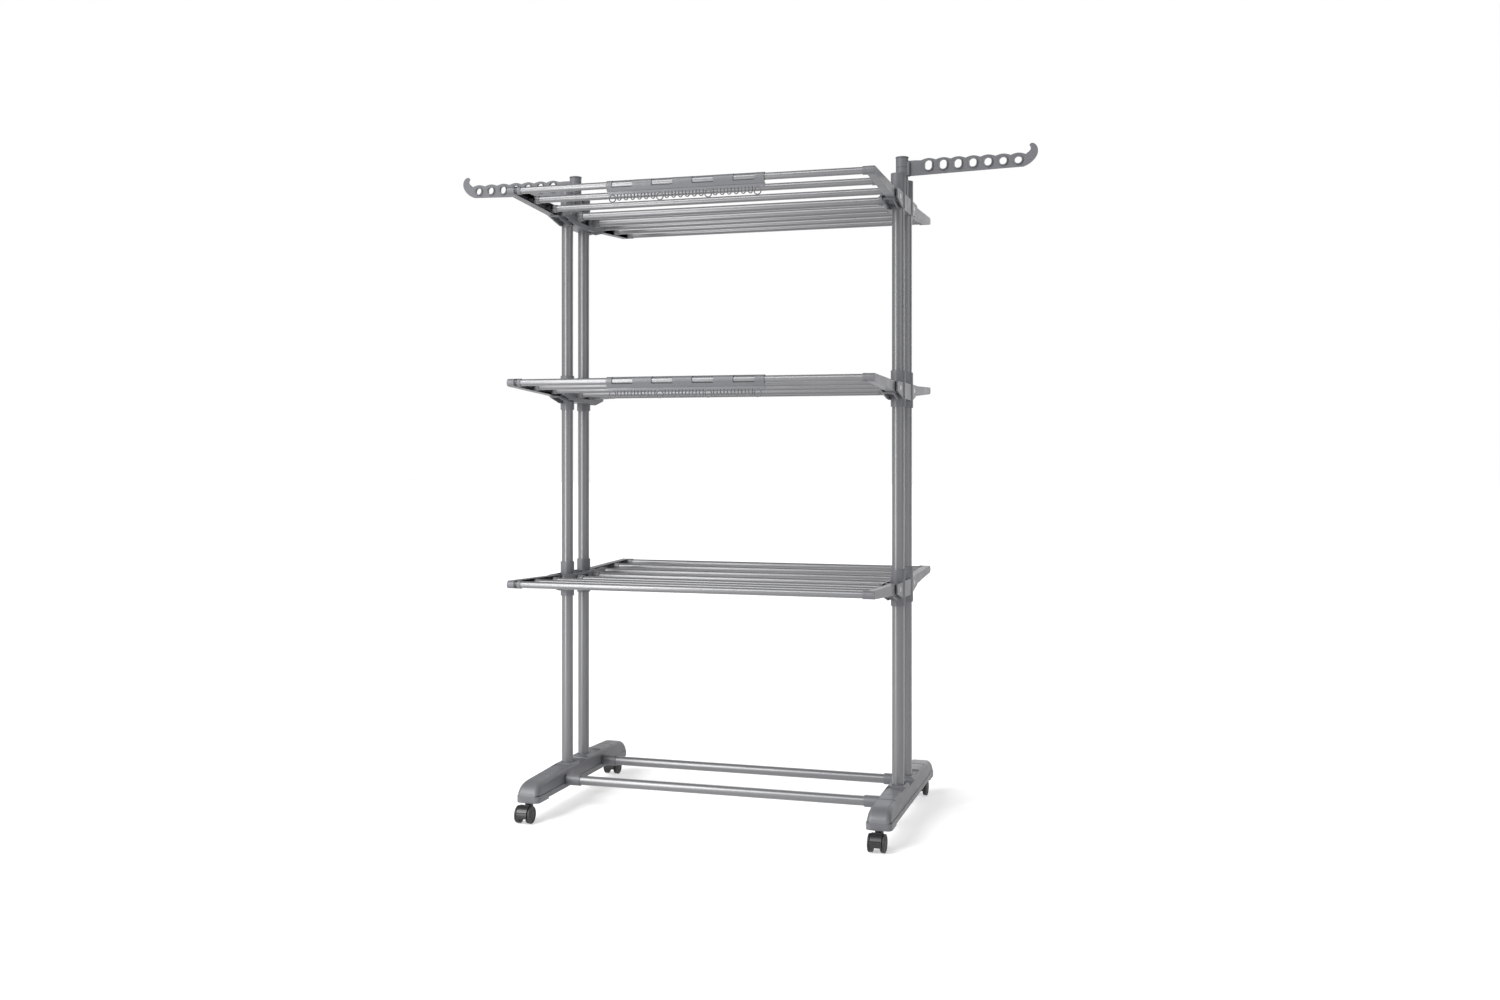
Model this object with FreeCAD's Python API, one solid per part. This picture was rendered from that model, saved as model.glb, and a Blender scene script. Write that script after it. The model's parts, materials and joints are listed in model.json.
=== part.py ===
import FreeCAD, Part
import os

# Three-tier clothes drying rack on casters.
# Origin: on the floor under the centre of the rack. X runs along the rails,
# -Y is the front, +Z is up. Millimetres.

# Posts: four tubes, each in three lengths that meet inside the brackets
POST_OD = 25.0
TUBE_WALL = 0.8
POST_HALF_X = 370.0
POST_HALF_Y = 45.0
SOCKET_CLEARANCE = 0.1      # radial, every tube in its socket
JOIN_WALL = 4.0             # wall inside a sleeve that two tubes butt against

# Tiers
TIER_Z = {"bottom": 488.0, "middle": 898.0, "top": 1288.0}
TIER_NAMES = list(TIER_Z)

# Bracket, measured from the post's axis (outwards is positive) and the pivot's height
SLEEVE_R = 15.0
SLEEVE_HALF_H = 37.5
TOP_SLEEVE_BELOW = 19.0
TOP_SLEEVE_ABOVE = 53.0
CHEEK = 4.0
CHEEK_GAP = 1.5             # from an arm's outer web to the cheek beside it
INNER_CHEEK_OUT = -20.0
CHEEK_HALF_Y = 116.0
CHEEK_CHAMFER_Y = 8.0
CHEEK_TOP = 12.5
CHEEK_END_TOP = 8.0
CHEEK_END_BOTTOM = -7.0
CHEEK_FLAT_Y = 51.0
CHEEK_BOTTOM = -21.0
WINDOW_HALF_Y = 24.0
WINDOW_Z = (-12.0, 7.0)
CENTRE_WEB = 4.0
LUG_Y = 126.0               # front end of the lug that an open arm rests on
LUG_OUT = (-15.0, 5.0)
LUG_TIP = 4.0
LUG_DEPTH = 12.0
LUG_GAP = 0.5               # between the lug and the arm above it

# Hinge pins
PIVOT_Y = 80.0
PIN_R = 3.0
PIN_PLAY = 0.05             # radial, a pin in a part that turns on it
PIN_HEAD_R = 5.5
PIN_HEAD_H = 1.5
HEAD_SEAT_PLAY = 0.4

# Tie bars between the two brackets of a tier
TIE_OD = 16.0
TIE_Y = 46.0
TIE_DROP = 2.0
TIE_SOCKET_WALL = 2.0
TIE_SOCKET_LENGTH = 16.0

# Folding tray halves
RAIL_OD = 14.0
RAIL_WALL = 0.7
RAIL_END_INSIDE = 14.0      # from a post's axis in to the ends of the rails
RAIL_HALF_X = POST_HALF_X - RAIL_END_INSIDE
RAIL_Y = (310.0, 222.0, 134.0)
RAIL_RISE = (10.0, 6.0, 2.0)
PLUG_R = 8.3
PLUG_CUP = 3.0
PLUG_FACE = 5.0
PLUG_SPIGOT = 16.0
PEG_R = 4.0
PEG_LENGTH = 10.0
LOCK_RING = 5.0             # black ring on each left rail end; the left arms stand out by it
ARM_WIDTH = 16.0
ARM_WALL = 2.0
ARM_NOSE_R = 8.0
ARM_TIP_Y = 320.0
KNUCKLE_R = 11.5
KNUCKLE_PLAY = 0.4
ARM_SOLID = 9.0             # solid stretch of an arm past its knuckle
ARM_BOSS_R = 7.0

# Hanger strips on the front rails of the top and middle tiers
STRIP_X = (-166.0, 161.0)
STRIP_WALL = 1.6
STRIP_DROP = 42.0           # from the top of the rail to the lowest ring
STRIP_THICK = 4.0
STRIP_WINDOWS = 4
STRIP_WINDOW_LENGTH = 43.6
STRIP_WINDOW_PITCH = 84.0
STRIP_FIRST_WINDOW = 12.5
STRIP_WINDOW_LOW = 6.0       # below the middle of the rail
STRIP_BAND = 22.0           # depth of the skirt above the rings
BIG_RING_R = 8.0
BIG_RING_FIRST = 11.4
BIG_RING_PITCH = 100.2
BIG_RINGS = 4
LOOPS_BETWEEN = 6
LOOP_R = 4.8
LOOP_WIRE = 2.4

# Turning wings on top
WING_PIN_R = 5.0
WING_PIN_DEPTH = 40.0
COLLAR_R = 13.0
COLLAR_GAP = 2.0            # between the top bracket and the wing's collar
COLLAR_H = 38.0
CAP_H = 3.0
CAP_R = 13.8
CAP_PLAY = 0.6              # over the end of the wing pin
GROOVE = 0.6
GROOVE_H = 18.0
WING_THICK = 9.0
WING_FOOT_R = 10.0
WING_HEEL_R = 28.0          # where the scallops begin
WING_APEX = 35.5            # scallop height over the collar's lower end
WING_VALLEY = 32.0
WING_HOLES = 7
WING_HOLE_FIRST = 55.6
WING_HOLE_PITCH = 30.7
WING_HOLE_Z = 21.0
WING_HOLE_WIDTH = 14.8
WING_HOLE_TALL = 20.8       # height of the first hole
HOOK_REACH = 280.0
# Points round the hook: (distance back from its reach, height over the collar's lower end)
HOOK_INNER_CORNER = (10.0, 37.0)
HOOK_TIP_IN = (17.0, 49.0)
HOOK_TIP_MID = (16.0, 53.0)
HOOK_TIP_TOP = (12.0, 54.0)
HOOK_SHOULDER = (2.5, 47.0)
HOOK_OUTER = (0.0, 37.0)
HOOK_BELLY = (8.5, 19.5)
HOOK_START = (30.0, 6.5)

# Feet
FOOT_HALF_W = 26.0
FOOT_HALF_Y = 250.0
FOOT_BOTTOM = 38.5
FOOT_LIP = 3.0
FOOT_LIP_Y = 198.0
FOOT_WALL = 3.0
FOOT_CORNER_R = 14.0
FOOT_EDGE_R = 7.0
NOSE_FACE_Z = 52.0
NOSE_SHOULDER = (239.5, 70.5)    # y and z half way round the nose
NOSE_TOP = (212.0, 79.0)    # y and z where the round nose ends
FOOT_INSET = 2.3            # extra thickness of the side walls, behind the rounded edges
PAD_Y = (103.0, 168.0)
PAD_HALF_W = 17.5
PAD_STEP = 2.0
FOOT_CREST_Y = 70.0         # the back slopes down beyond this
SOCKET_TOP = 84.0
RECESS_HALF_Y = 24.0
RECESS_TOP = 76.0
POST_BOSS_WALL = 3.5

# Cross bars between the feet
BAR_OD = 20.0
BAR_Y = 102.6
BAR_Z = 58.0
BAR_DEEP = 12.0             # how far a bar goes into the foot
BAR_BOSS_WALL = 3.0
BAR_SLEEVE_R = 12.0
BAR_SLEEVE_LENGTH = 32.0

# Casters
CASTER_Y = 239.0
CASTER_TRAIL = 20.0
WHEEL_R = 18.0
WHEEL_WIDTH = 9.0
WHEEL_INNER_X = 8.0
WHEEL_EDGE = 1.2
HOOD_R = 19.3
HOOD_SHELL = 0.9
HOOD_HALF_W = 11.5
HOOD_CORE_HALF_W = 7.2
HOOD_CORE_R = 16.0
HOOD_OPEN_Z = 12.5
HOOD_OPEN_SLOPE = 5.5
STEM_R = 4.0
STEM_HEAD_R = 7.0
STEM_UP = 20.0              # how far the stem goes into the foot
STEM_PLAY = 0.05
STEM_BOSS_WALL = 3.6
STEM_END_GAP = 0.5
AXLE_R = 2.5
AXLE_PLAY = 0.05

# Screws under the feet
SCREW_R = 2.0
SCREW_HEAD_R = 4.0
SCREW_HEAD_H = 2.0
SCREW_LENGTH = 10.0
FOOT_SCREW_Y = 180.0

BIG = 400.0                 # larger than any single cut needs
SAME_PLACE = 0.01           # lengths below this are a tessellation's, not the design's


def box(x0, x1, y0, y1, z0, z1):
    corner = FreeCAD.Vector(min(x0, x1), min(y0, y1), min(z0, z1))
    return Part.makeBox(abs(x1 - x0), abs(y1 - y0), abs(z1 - z0), corner)


def rod_x(r, x0, x1, y, z):
    start = FreeCAD.Vector(min(x0, x1), y, z)
    return Part.makeCylinder(r, abs(x1 - x0), start, FreeCAD.Vector(1, 0, 0))


def rod_y(r, y0, y1, x, z):
    start = FreeCAD.Vector(x, min(y0, y1), z)
    return Part.makeCylinder(r, abs(y1 - y0), start, FreeCAD.Vector(0, 1, 0))


def rod_z(r, z0, z1, x, y):
    start = FreeCAD.Vector(x, y, min(z0, z1))
    return Part.makeCylinder(r, abs(z1 - z0), start)


def fuse(shapes):
    return shapes[0].multiFuse(shapes[1:]).removeSplitter()


def flip_x(shape):
    return shape.mirror(FreeCAD.Vector(0, 0, 0), FreeCAD.Vector(1, 0, 0))


def flip_y(shape):
    return shape.mirror(FreeCAD.Vector(0, 0, 0), FreeCAD.Vector(0, 1, 0))


def plate_yz(points, x0, x1):
    """A straight-sided outline in (y, z), drawn out from x0 to x1."""
    low = min(x0, x1)
    corners = [FreeCAD.Vector(low, y, z) for y, z in points]
    face = Part.Face(Part.makePolygon(corners + corners[:1]))
    return face.extrude(FreeCAD.Vector(abs(x1 - x0), 0, 0))


def save(name, shapes):
    shape = shapes[0] if len(shapes) == 1 else Part.makeCompound(shapes)
    shape.exportStep(os.path.join("parts", name + ".step"))


# ---------------------------------------------------------------- frame tubes

def post_stretches():
    """(name, z of the lower end, z of the upper end) of each length of post."""
    half_join = JOIN_WALL / 2
    bottom, middle, top = [TIER_Z[name] for name in TIER_NAMES]
    cap = top + TOP_SLEEVE_ABOVE - JOIN_WALL
    return [("lower_posts", FOOT_BOTTOM + FOOT_LIP + FOOT_WALL, bottom - half_join),
            ("middle_posts", bottom + half_join, middle - half_join),
            ("upper_posts", middle + half_join, cap)]


def post_places():
    return [(sx * POST_HALF_X, sy * POST_HALF_Y) for sx in (-1, 1) for sy in (-1, 1)]


def post_tube(x, y, z0, z1):
    outside = rod_z(POST_OD / 2, z0, z1, x, y)
    return outside.cut(rod_z(POST_OD / 2 - TUBE_WALL, z0, z1, x, y))


def tube_x(od, wall, half_length, y, z):
    outside = rod_x(od / 2, -half_length, half_length, y, z)
    return outside.cut(rod_x(od / 2 - wall, -half_length, half_length, y, z))


# ------------------------------------------------------------------- brackets
# Brackets, arms and plugs are built on the right (+X) and mirrored for the left.

def arm_outer_x(spread):
    """Outer face of the arms; spread is the extra width on the left."""
    return RAIL_HALF_X + PLUG_FACE + ARM_WIDTH + spread


def inner_cheek_x():
    return POST_HALF_X + INNER_CHEEK_OUT


def cheek_outline(z):
    top_y = CHEEK_HALF_Y - CHEEK_CHAMFER_Y
    right = [(CHEEK_FLAT_Y, CHEEK_BOTTOM), (CHEEK_HALF_Y, CHEEK_END_BOTTOM),
             (CHEEK_HALF_Y, CHEEK_END_TOP), (top_y, CHEEK_TOP)]
    left = [(-y, dz) for y, dz in reversed(right)]
    return [(y, z + dz) for y, dz in right + left]


def sleeve_span(tier, z):
    if tier == "top":
        return z - TOP_SLEEVE_BELOW, z + TOP_SLEEVE_ABOVE
    return z - SLEEVE_HALF_H, z + SLEEVE_HALF_H


def lug(z):
    """Rest for an open arm: a wedge whose top follows the arm's lower edge."""
    arm_low_end = RAIL_RISE[0] - ARM_NOSE_R
    slope = (arm_low_end + KNUCKLE_R) / (nose_centre_y() - PIVOT_Y)
    seat = z - KNUCKLE_R - LUG_GAP
    tip_top = seat + slope * (LUG_Y - PIVOT_Y)
    root_y = POST_HALF_Y + SLEEVE_R / 2
    outline = [(root_y, seat), (PIVOT_Y, seat), (LUG_Y, tip_top), (LUG_Y, tip_top - LUG_TIP),
               (PIVOT_Y, seat - LUG_DEPTH), (root_y, seat - LUG_DEPTH)]
    wedge = plate_yz(outline, POST_HALF_X + LUG_OUT[0], POST_HALF_X + LUG_OUT[1])
    bridge_outline = [(root_y, seat), (PIVOT_Y, seat), (PIVOT_Y, seat - LUG_TIP),
                      (root_y, seat - LUG_TIP)]
    bridge = plate_yz(bridge_outline, inner_cheek_x() - CHEEK / 2, POST_HALF_X)
    return wedge.fuse(bridge)


def bracket(tier, spread):
    """One casting: two cheeks, two sleeves for the posts and a rest under each arm."""
    z = TIER_Z[tier]
    cheek_in = arm_outer_x(spread) + CHEEK_GAP
    cheek_out = cheek_in + CHEEK
    inner = inner_cheek_x()
    z0, z1 = sleeve_span(tier, z)
    outline = cheek_outline(z)
    inner_plate = plate_yz(outline, inner - CHEEK, inner)
    window = box(inner - CHEEK, inner, -WINDOW_HALF_Y, WINDOW_HALF_Y,
                 z + WINDOW_Z[0], z + WINDOW_Z[1])
    solids = [plate_yz(outline, cheek_in, cheek_out), inner_plate.cut(window)]
    floor_top = z + CHEEK_BOTTOM + CHEEK
    solids.append(box(inner - CHEEK, cheek_out, -CHEEK_FLAT_Y, CHEEK_FLAT_Y,
                      z + CHEEK_BOTTOM, floor_top))
    solids.append(box(POST_HALF_X - CENTRE_WEB / 2, POST_HALF_X + CENTRE_WEB / 2,
                      -POST_HALF_Y, POST_HALF_Y, z + CHEEK_BOTTOM, z + CHEEK_TOP))
    solids.append(lug(z))
    solids.append(flip_y(lug(z)))
    for side in (-1, 1):
        y = side * POST_HALF_Y
        solids.append(rod_z(SLEEVE_R, z0, z1, POST_HALF_X, y))
        # short walls tie each sleeve to both cheeks
        solids.append(box(inner - CHEEK, cheek_out, y - CENTRE_WEB / 2, y + CENTRE_WEB / 2,
                          z + CHEEK_BOTTOM, z + CHEEK_TOP))
        tie_y = side * TIE_Y
        socket_r = TIE_OD / 2 + TIE_SOCKET_WALL
        solids.append(rod_x(socket_r, inner - CHEEK - TIE_SOCKET_LENGTH, inner - CHEEK,
                            tie_y, z - TIE_DROP))
    if tier == "top":
        solids.append(rod_z(COLLAR_R, z + CHEEK_BOTTOM, z1, POST_HALF_X, 0))
        gusset = [(-POST_HALF_Y, z1 - SLEEVE_R), (0, z1), (POST_HALF_Y, z1 - SLEEVE_R),
                  (POST_HALF_Y, z), (-POST_HALF_Y, z)]
        solids.append(plate_yz(gusset, POST_HALF_X - CENTRE_WEB / 2,
                               POST_HALF_X + CENTRE_WEB / 2))
    body = fuse(solids)
    bore_r = POST_OD / 2 + SOCKET_CLEARANCE
    cuts = []
    for side in (-1, 1):
        y = side * POST_HALF_Y
        if tier == "top":
            cuts.append(rod_z(bore_r, z - SLEEVE_HALF_H, z1 - JOIN_WALL, POST_HALF_X, y))
        else:
            cuts.append(rod_z(bore_r, z0, z - JOIN_WALL / 2, POST_HALF_X, y))
            cuts.append(rod_z(bore_r, z + JOIN_WALL / 2, z1, POST_HALF_X, y))
        cuts.append(rod_x(TIE_OD / 2 + SOCKET_CLEARANCE, inner - CHEEK - TIE_SOCKET_LENGTH,
                          inner - CHEEK, side * TIE_Y, z - TIE_DROP))
        pin_y = side * PIVOT_Y
        cuts.append(rod_x(PIN_R + PIN_PLAY, inner - CHEEK, cheek_out, pin_y, z))
        cuts.append(rod_x(PIN_HEAD_R + HEAD_SEAT_PLAY, cheek_out - PIN_HEAD_H, cheek_out,
                          pin_y, z))
    if tier == "top":
        cuts.append(rod_z(WING_PIN_R, z1 - WING_PIN_DEPTH, z1, POST_HALF_X, 0))
    return body.cut(Part.makeCompound(cuts))


def hinge_pin(z, y, spread):
    cheek_out = arm_outer_x(spread) + CHEEK_GAP + CHEEK
    shank = rod_x(PIN_R, inner_cheek_x() - CHEEK, cheek_out, y, z)
    head = rod_x(PIN_HEAD_R, cheek_out - PIN_HEAD_H, cheek_out, y, z)
    return shank.fuse(head).removeSplitter()


# ---------------------------------------------------------- folding tray halves
# Built for the front (-Y) and mirrored for the rear.

def nose_centre_y():
    return ARM_TIP_Y - ARM_NOSE_R


def arm_outline(z, margin, first_y, last_y, last_rise):
    """The arm's side view between two stations, drawn in by a margin."""
    length = nose_centre_y() - PIVOT_Y
    corners = []
    for y, sign in ((first_y, 1), (last_y, 1), (last_y, -1), (first_y, -1)):
        share = (y - PIVOT_Y) / length
        half = KNUCKLE_R + share * (ARM_NOSE_R - KNUCKLE_R) - margin
        corners.append((-y, z + share * last_rise + sign * half))
    return corners


def arm(z, spread):
    outer = arm_outer_x(spread)
    inner = outer - ARM_WIDTH
    rise = RAIL_RISE[0]
    nose_y = nose_centre_y()
    solids = [plate_yz(arm_outline(z, 0, PIVOT_Y, nose_y, rise), inner, outer),
              rod_x(ARM_NOSE_R, inner, outer, -nose_y, z + rise),
              rod_x(KNUCKLE_R, inner_cheek_x() + KNUCKLE_PLAY,
                    outer + CHEEK_GAP - KNUCKLE_PLAY, -PIVOT_Y, z)]
    body = fuse(solids)
    start = PIVOT_Y + KNUCKLE_R + ARM_SOLID
    stop = RAIL_Y[0] - PLUG_R
    channel = plate_yz(arm_outline(z, ARM_WALL, start, stop, rise), inner, outer - ARM_WALL)
    bosses = [rod_x(ARM_BOSS_R, inner, outer, -y, z + dz)
              for y, dz in zip(RAIL_Y[1:], RAIL_RISE[1:])]
    body = body.cut(channel.cut(Part.makeCompound(bosses)))
    holes = [rod_x(PEG_R + SOCKET_CLEARANCE, inner, inner + PEG_LENGTH, -y, z + dz)
             for y, dz in zip(RAIL_Y, RAIL_RISE)]
    holes.append(rod_x(PIN_R + PIN_PLAY, inner_cheek_x(), outer + CHEEK_GAP, -PIVOT_Y, z))
    return body.cut(Part.makeCompound(holes))


def plug(y, z, collar, peg_length):
    """End plug of a rail: a cup over the tube, a spigot in it and a peg into the arm."""
    face = RAIL_HALF_X + collar
    cup = rod_x(PLUG_R, RAIL_HALF_X - PLUG_CUP, face, y, z)
    cup = cup.cut(rod_x(RAIL_OD / 2 + SOCKET_CLEARANCE, RAIL_HALF_X - PLUG_CUP,
                        RAIL_HALF_X, y, z))
    spigot_r = RAIL_OD / 2 - RAIL_WALL - SOCKET_CLEARANCE
    spigot = rod_x(spigot_r, RAIL_HALF_X - PLUG_SPIGOT, RAIL_HALF_X, y, z)
    return fuse([cup, spigot, rod_x(PEG_R, face, face + peg_length, y, z)])


def lock_ring(y, z):
    face = RAIL_HALF_X + PLUG_FACE
    ring = rod_x(PLUG_R, face, face + LOCK_RING, y, z)
    return ring.cut(rod_x(PEG_R + SOCKET_CLEARANCE, face, face + LOCK_RING, y, z))


def save_tray_half(tier, side):
    """Rails, arms and plugs of one half; the front half has lock rings on its left plugs."""
    z = TIER_Z[tier]
    front = side == "front"
    places = [(-y, z + dz) for y, dz in zip(RAIL_Y, RAIL_RISE)]
    collar = PLUG_FACE if front else PLUG_FACE + LOCK_RING
    peg_length = PEG_LENGTH + LOCK_RING if front else PEG_LENGTH
    pieces = {
        "rails": [tube_x(RAIL_OD, RAIL_WALL, RAIL_HALF_X, y, rail_z) for y, rail_z in places],
        "arms": [arm(z, 0), flip_x(arm(z, LOCK_RING))],
        "rail_plugs": [plug(y, rail_z, PLUG_FACE, PEG_LENGTH) for y, rail_z in places]
                      + [flip_x(plug(y, rail_z, collar, peg_length)) for y, rail_z in places],
    }
    if front:
        pieces["lock_rings"] = [flip_x(lock_ring(y, rail_z)) for y, rail_z in places]
    for kind, shapes in pieces.items():
        save(tier + "_" + side + "_" + kind, shapes if front else [flip_y(s) for s in shapes])


# --------------------------------------------------------------- hanger strips

def hanger_strip(tier):
    """Clip over the front rail with a skirt of small loops and larger rings."""
    z = TIER_Z[tier] + RAIL_RISE[0]
    y = -RAIL_Y[0]
    x0, x1 = STRIP_X
    inside_r = RAIL_OD / 2
    outside_r = inside_r + STRIP_WALL
    shell = rod_x(outside_r, x0, x1, y, z)
    loop_z = z + inside_r - STRIP_DROP + BIG_RING_R
    skirt_low = loop_z
    skirt = box(x0, x1, y - STRIP_THICK / 2, y + STRIP_THICK / 2, skirt_low, z)
    solids = [shell, skirt]
    cuts = [rod_x(inside_r, x0, x1, y, z)]
    for i in range(STRIP_WINDOWS):
        start = x0 + STRIP_FIRST_WINDOW + i * STRIP_WINDOW_PITCH
        cuts.append(box(start, start + STRIP_WINDOW_LENGTH, y - outside_r,
                        y + outside_r, z - STRIP_WINDOW_LOW, z + outside_r))
    ring_x = [x0 + BIG_RING_FIRST + i * BIG_RING_PITCH for i in range(BIG_RINGS)]
    half = STRIP_THICK / 2
    for x in ring_x:
        solids.append(rod_y(BIG_RING_R, y - half, y + half, x, loop_z))
        cuts.append(rod_y(BIG_RING_R - LOOP_WIRE, y - half, y + half, x, loop_z))
    for left, right in zip(ring_x, ring_x[1:]):
        step = (right - left) / (LOOPS_BETWEEN + 1)
        for k in range(1, LOOPS_BETWEEN + 1):
            x = left + k * step
            solids.append(rod_y(LOOP_R, y - half, y + half, x, loop_z))
            hole_r = LOOP_R - LOOP_WIRE
            cuts.append(rod_y(hole_r, y - half, y + half, x, loop_z))
            cuts.append(box(x - hole_r, x + hole_r, y - half, y + half, loop_z,
                            z + inside_r - STRIP_BAND))
    return fuse(solids).cut(Part.makeCompound(cuts))


# ----------------------------------------------------------------------- wings
# Built for the right; r is the distance from the wing's pin.

def collar_bottom():
    return TIER_Z["top"] + TOP_SLEEVE_ABOVE + COLLAR_GAP


def wing_holes():
    """(r, z, height) of each hole; they grow rounder towards the tip."""
    holes = []
    for i in range(WING_HOLES):
        share = i / (WING_HOLES - 1)
        height = WING_HOLE_TALL + share * (WING_HOLE_WIDTH - WING_HOLE_TALL)
        holes.append((WING_HOLE_FIRST + i * WING_HOLE_PITCH, collar_bottom() + WING_HOLE_Z, height))
    return holes


def wing_point(r, up):
    return FreeCAD.Vector(POST_HALF_X + r, -WING_THICK / 2, collar_bottom() + up)


def hook_point(place):
    return wing_point(HOOK_REACH - place[0], place[1])


def arc_edge(first, middle, last):
    return Part.Arc(first, middle, last).toShape()


def wing_outline():
    valleys = [WING_HOLE_FIRST + (i - 0.5) * WING_HOLE_PITCH for i in range(WING_HOLES + 1)]
    top_start = wing_point(WING_FOOT_R, WING_VALLEY)
    heel = wing_point(WING_HEEL_R, WING_VALLEY)
    edges = [Part.makeLine(top_start, heel),
             Part.makeLine(heel, wing_point(valleys[0], WING_VALLEY))]
    for a, b in zip(valleys, valleys[1:]):
        edges.append(arc_edge(wing_point(a, WING_VALLEY), wing_point((a + b) / 2, WING_APEX),
                              wing_point(b, WING_VALLEY)))
    inner_corner = hook_point(HOOK_INNER_CORNER)
    tip_in = hook_point(HOOK_TIP_IN)
    tip_top = hook_point(HOOK_TIP_TOP)
    outer = hook_point(HOOK_OUTER)
    low = hook_point(HOOK_START)
    foot_corner = wing_point(WING_FOOT_R, 0)
    edges.append(Part.makeLine(wing_point(valleys[-1], WING_VALLEY), inner_corner))
    edges.append(Part.makeLine(inner_corner, tip_in))
    edges.append(arc_edge(tip_in, hook_point(HOOK_TIP_MID), tip_top))
    edges.append(arc_edge(tip_top, hook_point(HOOK_SHOULDER), outer))
    edges.append(arc_edge(outer, hook_point(HOOK_BELLY), low))
    edges.append(Part.makeLine(low, foot_corner))
    edges.append(Part.makeLine(foot_corner, top_start))
    return Part.Wire(edges)


def wing():
    base = collar_bottom()
    plate = Part.Face(wing_outline()).extrude(FreeCAD.Vector(0, WING_THICK, 0))
    body = plate.fuse(rod_z(COLLAR_R, base, base + COLLAR_H, POST_HALF_X, 0))
    cuts = [rod_z(WING_PIN_R + PIN_PLAY, base, base + COLLAR_H, POST_HALF_X, 0)]
    half = WING_HOLE_WIDTH / 2
    for r, z, height in wing_holes():
        x = POST_HALF_X + r
        straight = height / 2 - half
        for dz in (-straight, straight):
            cuts.append(rod_y(half, -WING_THICK, WING_THICK, x, z + dz))
        if straight > 0:
            cuts.append(box(x - half, x + half, -WING_THICK, WING_THICK,
                            z - straight, z + straight))
    groove_z = base + GROOVE_H
    ring = rod_z(COLLAR_R, groove_z, groove_z + GROOVE, POST_HALF_X, 0)
    ring = ring.cut(rod_z(COLLAR_R - GROOVE, groove_z, groove_z + GROOVE, POST_HALF_X, 0))
    cuts.append(ring.cut(plate))
    return body.cut(fuse(cuts[:-1])).cut(cuts[-1])


def wing_cap():
    top = collar_bottom() + COLLAR_H
    return rod_z(CAP_R, top, top + CAP_H, POST_HALF_X, 0)


def wing_pin():
    top = TIER_Z["top"] + TOP_SLEEVE_ABOVE
    return rod_z(WING_PIN_R, top - WING_PIN_DEPTH,
                 collar_bottom() + COLLAR_H - CAP_PLAY, POST_HALF_X, 0)


def thrust_washer():
    top = TIER_Z["top"] + TOP_SLEEVE_ABOVE
    disc = rod_z(COLLAR_R - GROOVE, top, top + COLLAR_GAP - KNUCKLE_PLAY, POST_HALF_X, 0)
    return disc.cut(rod_z(WING_PIN_R, top, top + COLLAR_GAP, POST_HALF_X, 0))


# ------------------------------------------------------------------------ feet

def foot_point(y, z):
    return FreeCAD.Vector(POST_HALF_X - FOOT_HALF_W, y, z)


def foot_profile():
    """Side view of the foot as a wire in the plane of its inner side."""
    corners = [(-NOSE_TOP[0], NOSE_TOP[1]), (-FOOT_CREST_Y, SOCKET_TOP),
               (FOOT_CREST_Y, SOCKET_TOP), NOSE_TOP]
    base = [(FOOT_HALF_Y, NOSE_FACE_Z), (FOOT_HALF_Y, FOOT_BOTTOM), (-FOOT_HALF_Y, FOOT_BOTTOM),
            (-FOOT_HALF_Y, NOSE_FACE_Z)]
    edges = [Part.makeLine(foot_point(*a), foot_point(*b))
             for a, b in zip(corners, corners[1:])]
    edges.append(arc_edge(foot_point(*NOSE_TOP), foot_point(*NOSE_SHOULDER),
                          foot_point(*base[0])))
    edges += [Part.makeLine(foot_point(*a), foot_point(*b)) for a, b in zip(base, base[1:])]
    edges.append(arc_edge(foot_point(*base[-1]),
                          foot_point(-NOSE_SHOULDER[0], NOSE_SHOULDER[1]),
                          foot_point(*corners[0])))
    return Part.Wire(edges)


def crest_z(y):
    """Height of the foot's sloping back at a distance y from its middle."""
    share = (y - FOOT_CREST_Y) / (NOSE_TOP[0] - FOOT_CREST_Y)
    return SOCKET_TOP + share * (NOSE_TOP[1] - SOCKET_TOP)


def foot_plan(margin):
    """The foot's plan view with round corners, drawn up through its whole height."""
    half_w = FOOT_HALF_W - margin
    half_y = FOOT_HALF_Y - margin
    block = box(POST_HALF_X - half_w, POST_HALF_X + half_w, -half_y, half_y, 0, BIG)
    upright = [edge for edge in block.Edges if edge.BoundBox.ZLength > SAME_PLACE]
    return block.makeFillet(FOOT_CORNER_R - margin, upright)


def long_top_edges(shape):
    """Edges along the foot's two sides, above its nose faces."""
    found = []
    for edge in shape.Edges:
        span = edge.BoundBox
        off_side = abs(abs(span.Center.x - POST_HALF_X) - FOOT_HALF_W)
        if off_side < SAME_PLACE and span.XLength < SAME_PLACE and span.ZMin > NOSE_FACE_Z:
            found.append(edge)
    return found


def foot_shell():
    solid = Part.Face(foot_profile()).extrude(FreeCAD.Vector(2 * FOOT_HALF_W, 0, 0))
    outside = solid.common(foot_plan(0))
    outside = outside.makeFillet(FOOT_EDGE_R, long_top_edges(outside))
    lowered = solid.copy()
    lowered.translate(FreeCAD.Vector(0, 0, -FOOT_WALL))
    inside = lowered.common(foot_plan(FOOT_WALL + FOOT_INSET))
    ceiling = box(POST_HALF_X - FOOT_HALF_W, POST_HALF_X + FOOT_HALF_W, -FOOT_HALF_Y,
                  FOOT_HALF_Y, FOOT_BOTTOM - FOOT_WALL, RECESS_TOP - FOOT_WALL)
    return outside, outside.cut(inside.common(ceiling))


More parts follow.
